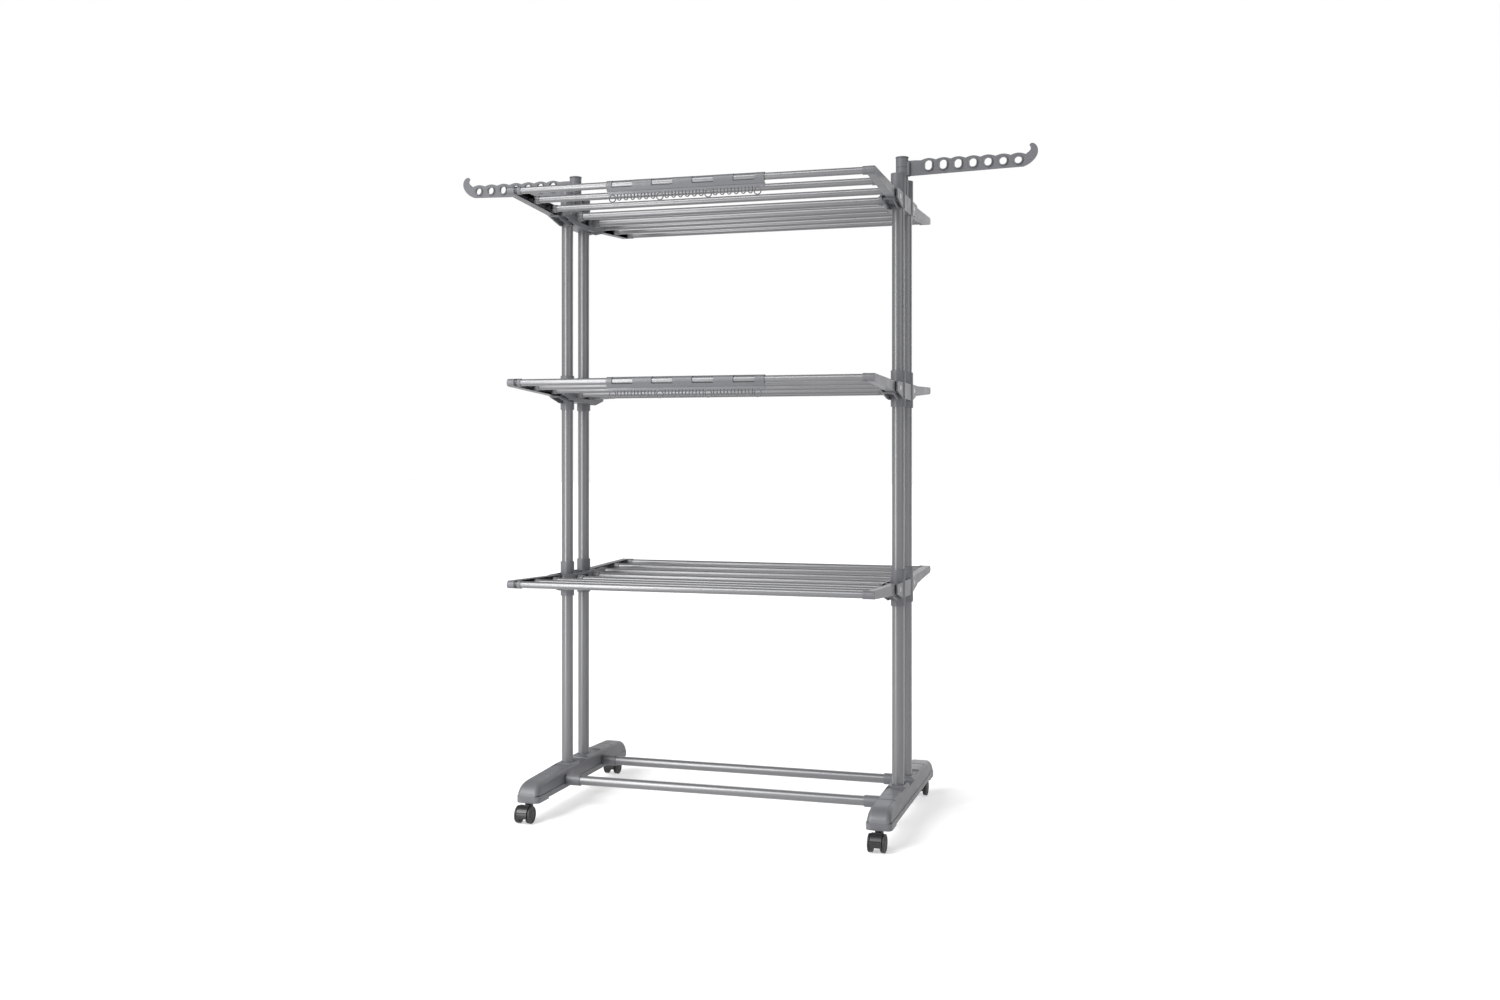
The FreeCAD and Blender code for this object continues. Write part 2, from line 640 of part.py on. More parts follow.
def foot_pad(side):
    """Low pad on the foot's back, between the nose and the post."""
    corners = [(side * y, crest_z(y) + rise) for y, rise in
               ((PAD_Y[0], PAD_STEP), (PAD_Y[1], PAD_STEP), (PAD_Y[1], -PAD_STEP),
                (PAD_Y[0], -PAD_STEP))]
    return plate_yz(corners, POST_HALF_X - PAD_HALF_W, POST_HALF_X + PAD_HALF_W)


def foot():
    outside, shell = foot_shell()
    floor_low = FOOT_BOTTOM + FOOT_LIP
    floor_high = floor_low + FOOT_WALL
    bosses = [box(POST_HALF_X - FOOT_HALF_W, POST_HALF_X + FOOT_HALF_W,
                  -POST_HALF_Y - POST_OD, POST_HALF_Y + POST_OD, floor_low, floor_high)]
    cuts = [box(POST_HALF_X - BIG, POST_HALF_X + BIG, -FOOT_LIP_Y, FOOT_LIP_Y, 0, floor_low),
            box(POST_HALF_X - BIG, POST_HALF_X + BIG, -RECESS_HALF_Y, RECESS_HALF_Y,
                RECESS_TOP, BIG)]
    for side in (-1, 1):
        y = side * POST_HALF_Y
        bore_r = POST_OD / 2 + SOCKET_CLEARANCE
        bosses.append(rod_z(bore_r + POST_BOSS_WALL, floor_low, SOCKET_TOP, POST_HALF_X, y))
        cuts.append(rod_z(bore_r, floor_high, BIG, POST_HALF_X, y))
        bar_x = POST_HALF_X - FOOT_HALF_W
        bar_r = BAR_OD / 2 + SOCKET_CLEARANCE
        bar_y = side * BAR_Y
        bosses.append(rod_x(bar_r + BAR_BOSS_WALL, bar_x, bar_x + BAR_DEEP + BAR_BOSS_WALL,
                            bar_y, BAR_Z))
        cuts.append(rod_x(bar_r, bar_x, bar_x + BAR_DEEP, bar_y, BAR_Z))
        stem_y = side * CASTER_Y
        stem_r = STEM_R + STEM_PLAY
        stem_top = FOOT_BOTTOM + STEM_UP + STEM_END_GAP
        bosses.append(rod_z(stem_r + STEM_BOSS_WALL, FOOT_BOTTOM, stem_top + FOOT_WALL,
                            POST_HALF_X, stem_y))
        cuts.append(rod_z(stem_r, FOOT_BOTTOM, stem_top, POST_HALF_X, stem_y))
        screw_y = side * FOOT_SCREW_Y
        bosses.append(rod_z(SCREW_HEAD_R + FOOT_WALL, floor_low, RECESS_TOP - FOOT_WALL,
                            POST_HALF_X, screw_y))
        cuts.append(rod_z(SCREW_HEAD_R + SOCKET_CLEARANCE, floor_low, floor_low + SCREW_HEAD_H,
                          POST_HALF_X, screw_y))
        cuts.append(rod_z(SCREW_R, floor_low, floor_low + SCREW_HEAD_H + SCREW_LENGTH,
                          POST_HALF_X, screw_y))
    pads = [foot_pad(side) for side in (-1, 1)]
    body = fuse([shell] + [boss.common(outside) for boss in bosses] + pads)
    for cut in cuts:
        body = body.cut(cut)
    return body


def foot_screw(y):
    seat = FOOT_BOTTOM + FOOT_LIP
    head = rod_z(SCREW_HEAD_R, seat, seat + SCREW_HEAD_H, POST_HALF_X, y)
    shank = rod_z(SCREW_R, seat, seat + SCREW_HEAD_H + SCREW_LENGTH, POST_HALF_X, y)
    return head.fuse(shank).removeSplitter()


def bar_sleeve(y):
    end = POST_HALF_X - FOOT_HALF_W
    sleeve = rod_x(BAR_SLEEVE_R, end - BAR_SLEEVE_LENGTH, end, y, BAR_Z)
    return sleeve.cut(rod_x(BAR_OD / 2, end - BAR_SLEEVE_LENGTH, end, y, BAR_Z))


# --------------------------------------------------------------------- casters

def caster_hood(x, stem_y):
    """Core between the wheels, a thin fender round them and a boss for the stem."""
    y = stem_y - CASTER_TRAIL
    z = WHEEL_R
    core = rod_x(HOOD_CORE_R, x - HOOD_CORE_HALF_W, x + HOOD_CORE_HALF_W, y, z)
    fender = rod_x(HOOD_R, x - HOOD_HALF_W, x + HOOD_HALF_W, y, z)
    fender = fender.cut(rod_x(HOOD_R - HOOD_SHELL, x - HOOD_HALF_W, x + HOOD_HALF_W, y, z))
    web = rod_x(HOOD_R, x - HOOD_CORE_HALF_W, x + HOOD_CORE_HALF_W, y, z)
    head_top = WHEEL_R + HOOD_R
    boss = rod_z(STEM_HEAD_R, z, head_top, x, stem_y)
    below = [(y - BIG, -BIG), (y - BIG, HOOD_OPEN_Z), (y, HOOD_OPEN_Z),
             (y + HOOD_R, HOOD_OPEN_Z + HOOD_OPEN_SLOPE), (y + BIG, z), (y + BIG, -BIG)]
    open_below = plate_yz(below, x - HOOD_HALF_W, x + HOOD_HALF_W)
    body = fuse([core, fender, web, boss]).cut(open_below)
    wheels_room = [rod_x(HOOD_R - HOOD_SHELL, x + s * HOOD_CORE_HALF_W, x + s * HOOD_HALF_W, y, z)
                   for s in (-1, 1)]
    body = body.cut(Part.makeCompound(wheels_room))
    body = body.cut(rod_z(STEM_R, z, head_top, x, stem_y))
    return body.cut(rod_x(AXLE_R, x - HOOD_HALF_W, x + HOOD_HALF_W, y, z))


def caster_pins(x, stem_y):
    y = stem_y - CASTER_TRAIL
    stem = rod_z(STEM_R, WHEEL_R, FOOT_BOTTOM + STEM_UP, x, stem_y)
    reach = WHEEL_INNER_X + WHEEL_WIDTH - WHEEL_EDGE
    return [stem, rod_x(AXLE_R, x - reach, x + reach, y, WHEEL_R)]


def caster_wheels(x, stem_y):
    y = stem_y - CASTER_TRAIL
    wheels = []
    for s in (-1, 1):
        inner = x + s * WHEEL_INNER_X
        outer = inner + s * WHEEL_WIDTH
        wheel = rod_x(WHEEL_R, inner, outer, y, WHEEL_R)
        rims = [edge for edge in wheel.Edges if edge.BoundBox.XLength < SAME_PLACE]
        wheel = wheel.makeFillet(WHEEL_EDGE, rims)
        wheels.append(wheel.cut(rod_x(AXLE_R + AXLE_PLAY, inner, outer - s * WHEEL_EDGE / 2,
                                      y, WHEEL_R)))
    return wheels


# ------------------------------------------------------------------------ build

os.makedirs("parts", exist_ok=True)

right_foot = foot()
save("foot_right", [right_foot])
save("foot_left", [flip_x(right_foot)])
screws = [foot_screw(side * FOOT_SCREW_Y) for side in (-1, 1)]
save("foot_screws", screws + [flip_x(shape) for shape in screws])

bar_half = POST_HALF_X - FOOT_HALF_W + BAR_DEEP
save("cross_bar_front", [tube_x(BAR_OD, TUBE_WALL, bar_half, -BAR_Y, BAR_Z)])
save("cross_bar_rear", [tube_x(BAR_OD, TUBE_WALL, bar_half, BAR_Y, BAR_Z)])
sleeves = [bar_sleeve(side * BAR_Y) for side in (-1, 1)]
save("cross_bar_sleeves", sleeves + [flip_x(shape) for shape in sleeves])

for stretch, low, high in post_stretches():
    save(stretch, [post_tube(x, y, low, high) for x, y in post_places()])

pins = []
for tier_name in TIER_NAMES:
    tier_z = TIER_Z[tier_name]
    save("bracket_" + tier_name + "_right", [bracket(tier_name, 0)])
    save("bracket_" + tier_name + "_left", [flip_x(bracket(tier_name, LOCK_RING))])
    tie_half = inner_cheek_x() - CHEEK
    save("tie_bars_" + tier_name,
         [tube_x(TIE_OD, RAIL_WALL, tie_half, side * TIE_Y, tier_z - TIE_DROP)
          for side in (-1, 1)])
    for pin_side in (-1, 1):
        pins.append(hinge_pin(tier_z, pin_side * PIVOT_Y, 0))
        pins.append(flip_x(hinge_pin(tier_z, pin_side * PIVOT_Y, LOCK_RING)))
    for half_side in ("front", "rear"):
        save_tray_half(tier_name, half_side)
save("hinge_pins", pins)

for tier_name in ("middle", "top"):
    save("hanger_strip_" + tier_name, [hanger_strip(tier_name)])

right_wing = wing()
save("wing_right", [right_wing])
save("wing_left", [flip_x(right_wing)])
save("wing_cap_right", [wing_cap()])
save("wing_cap_left", [flip_x(wing_cap())])
save("wing_pins", [wing_pin(), flip_x(wing_pin())])
save("wing_washers", [thrust_washer(), flip_x(thrust_washer())])

for end, stem_side in (("front", -1), ("rear", 1)):
    for hand, side_x in (("left", -1), ("right", 1)):
        label = "caster_" + end + "_" + hand
        place = (side_x * POST_HALF_X, stem_side * CASTER_Y)
        save(label + "_hood", [caster_hood(*place)])
        save(label + "_pins", caster_pins(*place))
        save(label + "_wheels", caster_wheels(*place))
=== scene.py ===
# Looks of a three-tier clothes drying rack, built round its fixed frame of solids.
# X runs along the rails, -Y is the front and +Z is up. Sizes below are in millimetres.

import json
import math

import bmesh
import bpy
from bpy.props import FloatProperty, FloatVectorProperty, IntProperty, PointerProperty
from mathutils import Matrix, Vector

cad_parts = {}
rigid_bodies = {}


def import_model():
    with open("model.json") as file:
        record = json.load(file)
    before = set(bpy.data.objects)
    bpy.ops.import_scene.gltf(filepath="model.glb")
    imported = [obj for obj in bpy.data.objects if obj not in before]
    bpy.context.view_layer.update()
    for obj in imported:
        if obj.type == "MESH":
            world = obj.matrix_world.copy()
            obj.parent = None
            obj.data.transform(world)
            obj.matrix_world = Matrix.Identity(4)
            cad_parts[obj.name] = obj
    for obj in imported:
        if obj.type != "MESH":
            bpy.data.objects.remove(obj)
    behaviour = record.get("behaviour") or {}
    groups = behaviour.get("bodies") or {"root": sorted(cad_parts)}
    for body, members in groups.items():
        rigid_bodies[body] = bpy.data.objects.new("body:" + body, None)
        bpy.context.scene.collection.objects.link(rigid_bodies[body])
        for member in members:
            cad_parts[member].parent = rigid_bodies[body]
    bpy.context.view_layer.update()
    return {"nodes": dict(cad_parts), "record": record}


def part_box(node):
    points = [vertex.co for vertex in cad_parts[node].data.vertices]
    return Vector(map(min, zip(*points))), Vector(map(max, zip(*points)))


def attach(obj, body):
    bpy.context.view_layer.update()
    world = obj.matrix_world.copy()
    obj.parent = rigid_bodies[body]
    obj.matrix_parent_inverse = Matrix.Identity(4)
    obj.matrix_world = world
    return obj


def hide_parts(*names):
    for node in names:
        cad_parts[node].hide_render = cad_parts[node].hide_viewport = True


bl_info = {
    "name": "Clothes drying rack",
    "version": (1, 0, 0),
    "blender": (4, 5, 0),
    "location": "View3D > Sidebar > Rack",
    "description": "Shapes and finishes of a three-tier clothes drying rack on casters",
    "category": "Object",
}

for leftover in list(bpy.data.objects):
    bpy.data.objects.remove(leftover)

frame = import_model()
MM = 0.001
TIERS = ("bottom", "middle", "top")
HANDS = (("left", -1), ("right", 1))
ENDS = (-1, 1)
SMOOTH_ANGLE = 38        # edges sharper than this many degrees stay sharp
SAME = 0.01              # two places closer than this are one
OVERSHOOT = 9            # how far a cutting block runs past what it cuts
TURNS = {"x": (0, math.pi / 2, 0), "y": (-math.pi / 2, 0, 0), "z": (0, 0, 0)}
AXES = {"x": Vector((1, 0, 0)), "y": Vector((0, 1, 0)), "z": Vector((0, 0, 1))}


def span(node):
    """Lowest and highest corner of a CAD node, in millimetres."""
    low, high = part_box(node)
    return low / MM, high / MM


# ------------------------------------------------------------------ bench tools

def let_go():
    """Leave edit mode with nothing selected."""
    if bpy.context.mode != "OBJECT":
        bpy.ops.object.mode_set(mode="OBJECT")
    bpy.ops.object.select_all(action="DESELECT")


def hold(piece):
    """Make a piece the only one selected."""
    let_go()
    piece.select_set(True)
    bpy.context.view_layer.objects.active = piece


def edit(piece):
    """Hold a piece and open its mesh with nothing in it selected."""
    hold(piece)
    bpy.ops.object.mode_set(mode="EDIT")
    bpy.ops.mesh.select_all(action="DESELECT")


def settle(name):
    """Name the piece in hand, with its place and size put into its mesh."""
    piece = bpy.context.active_object
    if bpy.context.mode != "OBJECT":
        bpy.ops.object.mode_set(mode="OBJECT")
    piece.name = name
    piece.data.name = name
    bpy.ops.object.transform_apply(location=True, rotation=True, scale=True)
    return piece


def block(name, low, high):
    """Closed box between two corners."""
    let_go()
    low, high = Vector(low) * MM, Vector(high) * MM
    bpy.ops.mesh.primitive_cube_add(size=1, location=(low + high) / 2)
    bpy.context.active_object.scale = high - low
    return settle(name)


def bar(name, radius, start, axis, length, sides=48):
    """Closed round bar from a point along +X, +Y or +Z."""
    let_go()
    middle = Vector(start) + AXES[axis] * (length / 2)
    bpy.ops.mesh.primitive_cylinder_add(vertices=sides, radius=radius * MM, depth=length * MM,
                                        location=middle * MM, rotation=TURNS[axis])
    return settle(name)


def ring(name, radius, wire, centre, axis, sides=32):
    """Ring of round wire round a point."""
    let_go()
    bpy.ops.mesh.primitive_torus_add(major_radius=radius * MM, minor_radius=wire * MM,
                                     major_segments=sides, minor_segments=12,
                                     location=Vector(centre) * MM, rotation=TURNS[axis])
    return settle(name)


def draw(name, points):
    """A line from point to point, drawn by extruding one corner; it is left open in edit mode."""
    let_go()
    places = [Vector(p) * MM for p in points]
    bpy.ops.mesh.primitive_plane_add(size=MM, location=places[0])
    piece = settle(name)
    bpy.ops.object.mode_set(mode="EDIT")
    bpy.ops.mesh.select_mode(type="VERT")
    bpy.ops.mesh.select_all(action="SELECT")
    bpy.ops.mesh.merge(type="CENTER")
    for here, there in zip(places, places[1:]):
        bpy.ops.mesh.extrude_region_move(TRANSFORM_OT_translate={"value": there - here})
    return piece


def sheet_of(name, points):
    """A flat face with a drawn outline, selected in edit mode."""
    piece = draw(name, list(points) + [points[0]])
    bpy.ops.mesh.select_all(action="SELECT")
    bpy.ops.mesh.remove_doubles(threshold=0.02 * MM)
    bpy.ops.mesh.edge_face_add()
    return piece


def tidy_normals():
    """Turn all faces outwards."""
    bpy.ops.mesh.select_all(action="SELECT")
    bpy.ops.mesh.normals_make_consistent(inside=False)


def push_out(depth):
    """Thicken the selected face by a vector and close the mesh."""
    bpy.ops.mesh.extrude_region_move(TRANSFORM_OT_translate={"value": Vector(depth) * MM})
    tidy_normals()
    bpy.ops.object.mode_set(mode="OBJECT")


def plate(name, points, depth):
    """A drawn outline given a thickness."""
    piece = sheet_of(name, points)
    push_out(depth)
    return piece


def turned(name, profile, centre, axis, steps=64):
    """A shape turned round an axis; the profile is (along, radius) from axis to axis."""
    side = AXES["z"] if axis != "z" else AXES["x"]
    points = [Vector(centre) + AXES[axis] * along + side * radius for along, radius in profile]
    piece = draw(name, points)
    bpy.ops.mesh.select_all(action="SELECT")
    bpy.ops.mesh.spin(steps=steps, angle=2 * math.pi, center=Vector(centre) * MM,
                      axis=AXES[axis])
    bpy.ops.mesh.select_all(action="SELECT")
    bpy.ops.mesh.remove_doubles(threshold=0.01 * MM)
    tidy_normals()
    bpy.ops.object.mode_set(mode="OBJECT")
    return piece


def pick_points(piece, wanted):
    """Select the corners whose place passes a test."""
    bpy.ops.mesh.select_mode(type="VERT")
    bpy.ops.mesh.select_all(action="DESELECT")
    mesh = bmesh.from_edit_mesh(piece.data)
    for corner in mesh.verts:
        if wanted(corner.co / MM):
            corner.select_set(True)
    bmesh.update_edit_mesh(piece.data)


def pick_edges(piece, wanted):
    """Select the edges whose two ends pass a test."""
    bpy.ops.mesh.select_mode(type="EDGE")
    bpy.ops.mesh.select_all(action="DESELECT")
    mesh = bmesh.from_edit_mesh(piece.data)
    for edge in mesh.edges:
        if wanted(edge.verts[0].co / MM, edge.verts[1].co / MM):
            edge.select_set(True)
    bmesh.update_edit_mesh(piece.data)


def modify(piece, kind, **settings):
    """Add a modifier with its settings and apply it."""
    hold(piece)
    bpy.ops.object.modifier_add(type=kind)
    made = piece.modifiers[-1]
    for key, value in settings.items():
        setattr(made, key, value)
    bpy.ops.object.modifier_apply(modifier=made.name)


def join(name, pieces):
    """Make one piece of several."""
    hold(pieces[0])
    for piece in pieces[1:]:
        piece.select_set(True)
    if len(pieces) > 1:
        bpy.ops.object.join()
    return settle(name)


def combine(piece, others, operation="DIFFERENCE"):
    """Cut others out of a piece, or weld them to it, and clear them away."""
    tool = join("tool", others)
    modify(piece, "BOOLEAN", object=tool, operation=operation, solver="EXACT",
           use_self=len(others) > 1)
    hold(tool)
    bpy.ops.object.delete()
    return piece


def bevel_picked(width):
    """Round the edges that are picked in edit mode."""
    bpy.ops.mesh.bevel(offset=width * MM, segments=9, profile=0.5, affect="EDGES",
                       clamp_overlap=False)


def round_edges(piece, width, steps=3, angle=32):
    """Round all edges sharper than an angle in degrees."""
    modify(piece, "BEVEL", width=width * MM, segments=steps, limit_method="ANGLE",
           angle_limit=math.radians(angle), use_clamp_overlap=False)


def smooth(piece):
    """Smooth shading that keeps flats flat."""
    hold(piece)
    bpy.ops.object.shade_smooth_by_angle(angle=math.radians(SMOOTH_ANGLE))
    modify(piece, "WEIGHTED_NORMAL", keep_sharp=True)


def twin(piece, name, flip=None, shift=(0, 0, 0)):
    """A copy with its own mesh, mirrored across X or Y or moved along."""
    hold(piece)
    bpy.ops.object.duplicate()
    made = bpy.context.active_object
    if flip:
        made.scale = [-1 if axis == flip else 1 for axis in "xyz"]
    made.location = Vector(shift) * MM
    made = settle(name)
    if flip:
        edit(made)
        tidy_normals()
        bpy.ops.object.mode_set(mode="OBJECT")
    return made


def dressed(node, name, width, steps=2):
    """The shape of a CAD node with its sharp edges rounded."""
    let_go()
    mesh = frame["nodes"][node].data.copy()
    piece = bpy.data.objects.new(name, mesh)
    bpy.context.scene.collection.objects.link(piece)
    mesh.name = name
    hold(piece)
    bpy.ops.object.mode_set(mode="EDIT")
    bpy.ops.mesh.select_all(action="SELECT")
    bpy.ops.mesh.customdata_custom_splitnormals_clear()
    bpy.ops.mesh.remove_doubles(threshold=0.004 * MM)
    bpy.ops.mesh.dissolve_limited(angle_limit=math.radians(0.5))
    bpy.ops.object.mode_set(mode="OBJECT")
    if width:
        round_edges(piece, width, steps)
    return piece


def fit_out(piece, body, slot, nodes):
    """Give a finished piece its finish, its body and the CAD nodes that it stands for."""
    smooth(piece)
    piece.data.materials.clear()
    piece.data.materials.append(FINISHES[slot])
    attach(piece, body)
    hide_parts(*nodes)


# --------------------------------------------------------------------- finishes

FINISHES = {}


class Wire:
    """A shader socket that Python's arithmetic can be done on."""

    def __init__(self, finish, socket):
        self.finish = finish
        self.socket = socket

    def sum_of(self, operation, first, second):
        return self.finish.add("ShaderNodeMath", {"operation": operation},
                               {0: first, 1: second})["Value"]

    def __add__(self, other):
        return self.sum_of("ADD", self, other)

    __radd__ = __add__

    def __sub__(self, other):
        return self.sum_of("SUBTRACT", self, other)

    def __rsub__(self, other):
        return self.sum_of("SUBTRACT", other, self)

    def __mul__(self, other):
        return self.sum_of("MULTIPLY", self, other)

    __rmul__ = __mul__


class Finish:
    """A material in the making."""

    def __init__(self, name):
        self.material = bpy.data.materials.new(name)
        self.material.use_nodes = True
        self.tree = self.material.node_tree
        self.tree.nodes.clear()
        self.place = self.add("ShaderNodeTexCoord")["Object"]

    def add(self, kind, settings=None, inputs=None):
        """Add a node; settings first, then the values or wires of its sockets."""
        node = self.tree.nodes.new(kind)
        for key, value in (settings or {}).items():
            if key == "stops":
                ramp = node.color_ramp
                for stop, (position, level) in zip(ramp.elements, value):
                    stop.position = position
                    stop.color = (level, level, level, 1)
            else:
                setattr(node, key, value)
        for key, value in (inputs or {}).items():
            if isinstance(key, int):
                socket = node.inputs[key]
            else:
                socket = next(s for s in node.inputs if s.name == key and s.enabled)
            if isinstance(value, Wire):
                self.tree.links.new(value.socket, socket)
            else:
                socket.default_value = value
        return {out.name: Wire(self, out) for out in node.outputs if out.enabled}

    def noise(self, scale, detail=2.0, stretch=None):
        """Even mottling; stretch squeezes it along X, Y and Z."""
        place = self.place
        if stretch:
            place = self.add("ShaderNodeMapping", {}, {"Vector": place, "Scale": stretch})["Vector"]
        made = self.add("ShaderNodeTexNoise", {}, {"Vector": place, "Scale": scale,
                                                   "Detail": detail})
        return made["Fac"]

    def ramp(self, value, low, high):
        """0 up to low, 1 from high on."""
        made = self.add("ShaderNodeValToRGB", {"stops": ((low, 0), (high, 1))}, {"Fac": value})
        return made["Color"]

    def blend(self, factor, first, second):
        made = self.add("ShaderNodeMix", {"data_type": "RGBA"},
                        {"Factor": factor, "A": (*first, 1), "B": (*second, 1)})
        return made["Result"]

    def bump(self, height, strength, distance, under=None):
        inputs = {"Height": height, "Strength": strength, "Distance": distance}
        if under:
            inputs["Normal"] = under
        return self.add("ShaderNodeBump", {}, inputs)["Normal"]

    def done(self, **sockets):
        """Close the material with one main shader; names give its sockets."""
        inputs = {key.replace("_", " "): value for key, value in sockets.items()}
        shader = self.add("ShaderNodeBsdfPrincipled", {}, inputs)["BSDF"]
        self.add("ShaderNodeOutputMaterial", {}, {"Surface": shader})
        return self.material


def shade_of(colour, factor):
    return [channel * factor for channel in colour]


def coated_tube(colour):
    """Silver-grey powder coat on steel tube, with its orange peel and fine flakes."""
    finish = Finish("coated_tube_finish")
    cloud = finish.noise(9.0, 3.0)
    flake = finish.noise(2600.0, 1.0)
    sparkle = finish.ramp(flake, 0.56, 0.74)
    tone = cloud * 0.35 + sparkle * 0.5
    peel = finish.noise(520.0, 2.0)
    grain = finish.bump(peel, 0.10, 0.0004)
    grain = finish.bump(flake, 0.05, 0.0001, grain)
    return finish.done(
        Base_Color=finish.blend(tone, shade_of(colour, 0.90), shade_of(colour, 1.18)),
        Metallic=0.12, Specular_IOR_Level=0.9, Roughness=0.27 + cloud * 0.07 + peel * 0.05,
        Coat_Weight=0.14 + cloud * 0.12, Coat_Roughness=0.20, Normal=grain)


def grey_plastic(colour):
    """Moulded plastic with a fine eroded texture and faint flow marks."""
    finish = Finish("grey_plastic_finish")
    flow = finish.noise(14.0, 3.0, (1.0, 0.6, 1.6))
    speck = finish.noise(1900.0, 2.0)
    handled = finish.ramp(finish.noise(38.0, 4.0), 0.52, 0.72)
    grain = finish.bump(speck, 0.16, 0.00012)
    grain = finish.bump(flow, 0.05, 0.0006, grain)
    return finish.done(
        Base_Color=finish.blend(flow * 0.7 + speck * 0.3, shade_of(colour, 0.92),
                                shade_of(colour, 1.08)),
        Roughness=0.50 + speck * 0.10 - handled * 0.07,
        Coat_Weight=0.12 + handled * 0.10, Coat_Roughness=0.12, Normal=grain)


def black_plastic(colour):
    """Smooth dark nylon, a little polished by handling."""
    finish = Finish("black_plastic_finish")
    flow = finish.noise(60.0, 3.0)
    speck = finish.noise(2400.0, 1.0)
    return finish.done(
        Base_Color=finish.blend(flow, shade_of(colour, 0.8), shade_of(colour, 1.3)),
        Roughness=0.30 + flow * 0.14, Normal=finish.bump(speck, 0.10, 0.0001))


def black_tread(colour):
    """Dull wheel rubber with scuffs running round it."""
    finish = Finish("black_tread_finish")
    scuff = finish.noise(420.0, 3.0, (4.0, 1.0, 1.0))
    worn = finish.ramp(scuff, 0.50, 0.75)
    return finish.done(
        Base_Color=finish.blend(worn * 0.6, colour, shade_of(colour, 2.1)),
        Roughness=0.46 + scuff * 0.22, Normal=finish.bump(scuff, 0.18, 0.0002))


def plated_steel(colour):
    """Bright zinc plate with a turned grain."""
    finish = Finish("plated_steel_finish")
    turning = finish.noise(1500.0, 2.0, (6.0, 1.0, 1.0))
    return finish.done(
        Base_Color=finish.blend(turning, shade_of(colour, 0.86), shade_of(colour, 1.06)),
        Metallic=1.0, Roughness=0.24 + turning * 0.16, Normal=finish.bump(turning, 0.08, 0.0001))


# --------------------------------------------------------- sizes a user may change

class RackFinishes(bpy.types.PropertyGroup):
    """Colours of the rack's finishes."""

    tube: FloatVectorProperty(name="Tube coat", description="Colour of the coated tubes",
                              subtype="COLOR", default=(0.104, 0.106, 0.111), min=0, max=1)
    plastic: FloatVectorProperty(name="Plastic", description="Colour of the moulded plastic",
                                 subtype="COLOR", default=(0.092, 0.095, 0.103), min=0, max=1)
    # On the hoods this black is their own colour; on the lock rings it is painted shade of the gap
    # between arm nose and rail plug
    black: FloatVectorProperty(name="Black plastic", description="Colour of hoods and lock rings",
                               subtype="COLOR", default=(0.008, 0.008, 0.009), min=0, max=1)
    tread: FloatVectorProperty(name="Tread", description="Colour of the wheels",
                               subtype="COLOR", default=(0.014, 0.014, 0.015), min=0, max=1)
    steel: FloatVectorProperty(name="Plated steel", description="Colour of pins and screws",
                               subtype="COLOR", default=(0.34, 0.34, 0.35), min=0, max=1)


class RackSizes(bpy.types.PropertyGroup):
    """Sizes of the details, in millimetres."""

    foot_edge: FloatProperty(name="Foot edge", description="Rounding along a foot's back",
                             default=9.5, min=4, max=14)
    foot_taper: FloatProperty(name="Foot taper", description="Narrowing from the lip to the back",
                              default=0.14, min=0, max=0.3)
    foot_band: FloatProperty(name="Foot band", description="Height of the lip round a foot",
                             default=14.0, min=4, max=16)
    wing_rim: FloatProperty(name="Wing rim", description="Width of the rims on a wing",
                            default=2.4, min=1, max=4)
    wing_recess: FloatProperty(name="Wing recess", description="Depth of a wing's sunk web",
                               default=3.0, min=0.5, max=3.5)
    loop_wire: FloatProperty(name="Loop wire", description="Half thickness of the hanger loops",
                             default=1.15, min=0.6, max=1.6)
    edge: FloatProperty(name="Moulded edge", description="Rounding of moulded edges",
                        default=0.7, min=0.2, max=1.2)
    loops: IntProperty(name="Loops", description="Small loops between two large rings",
                       default=6, min=2, max=6)


def sizes():
    return bpy.context.scene.rack_sizes


# -------------------------------------------------------------------- operators

class RACK_OT_finishes(bpy.types.Operator):
    """Mix the finishes and put them on the CAD nodes that stay"""

    bl_idname = "rack.finishes"
    bl_label = "Finishes"

    def execute(self, context):
        colours = context.scene.rack_finishes
        FINISHES["coated_tube"] = coated_tube(colours.tube)
        FINISHES["grey_plastic"] = grey_plastic(colours.plastic)
        FINISHES["black_plastic"] = black_plastic(colours.black)
        FINISHES["black_tread"] = black_tread(colours.tread)
        FINISHES["plated_steel"] = plated_steel(colours.steel)
        slots = {name: row["slot"] for row in frame["record"]["materials"]
                 for name in row.get("nodes", [])}
        for name, node in frame["nodes"].items():
            kind = slots.get(name) or node.material_slots[0].material.name
            for place in node.material_slots:
                place.material = FINISHES[kind]
        return {"FINISHED"}


FOOT_CREST = 84.0        # height of a foot's back between its posts
FOOT_FLAT = 70.0         # the back is level up to here and then falls
FOOT_FALL = 0.0352
FOOT_SIDE = (            # (y, z) from the middle of the crest down to the lip of the nose
    (0.0, FOOT_CREST), (FOOT_FLAT, FOOT_CREST), (212.0, 79.0), (219.5, 78.2), (226.5, 76.7),
    (233.0, 74.3), (238.5, 71.0), (242.8, 67.0), (246.5, 62.4), (248.7, 57.4), (249.6, 52.8))
LIP_PROUD = 1.2          # the lip stands out this far along a foot's sides
LIP_NOSE = 0.3           # and this far at its ends
LIP_UNDER = 1.0          # the body ends this far over the lip's underside
UNDERCUT_Y = 198.0
UNDERCUT_RISE = 3.0
SADDLE_Y = 24.0
SADDLE_Z = 76.0
SADDLE_TOP = 90.0        # over the foot's underside, clear of its back
POCKET_STARTS = (-193, 74)
POCKET_LENGTH = 119
POCKET_WALL = 4.5
POST_Y = 45
SOCKET = (13.3, 80, 20)  # radius, floor and length of the cut for a post
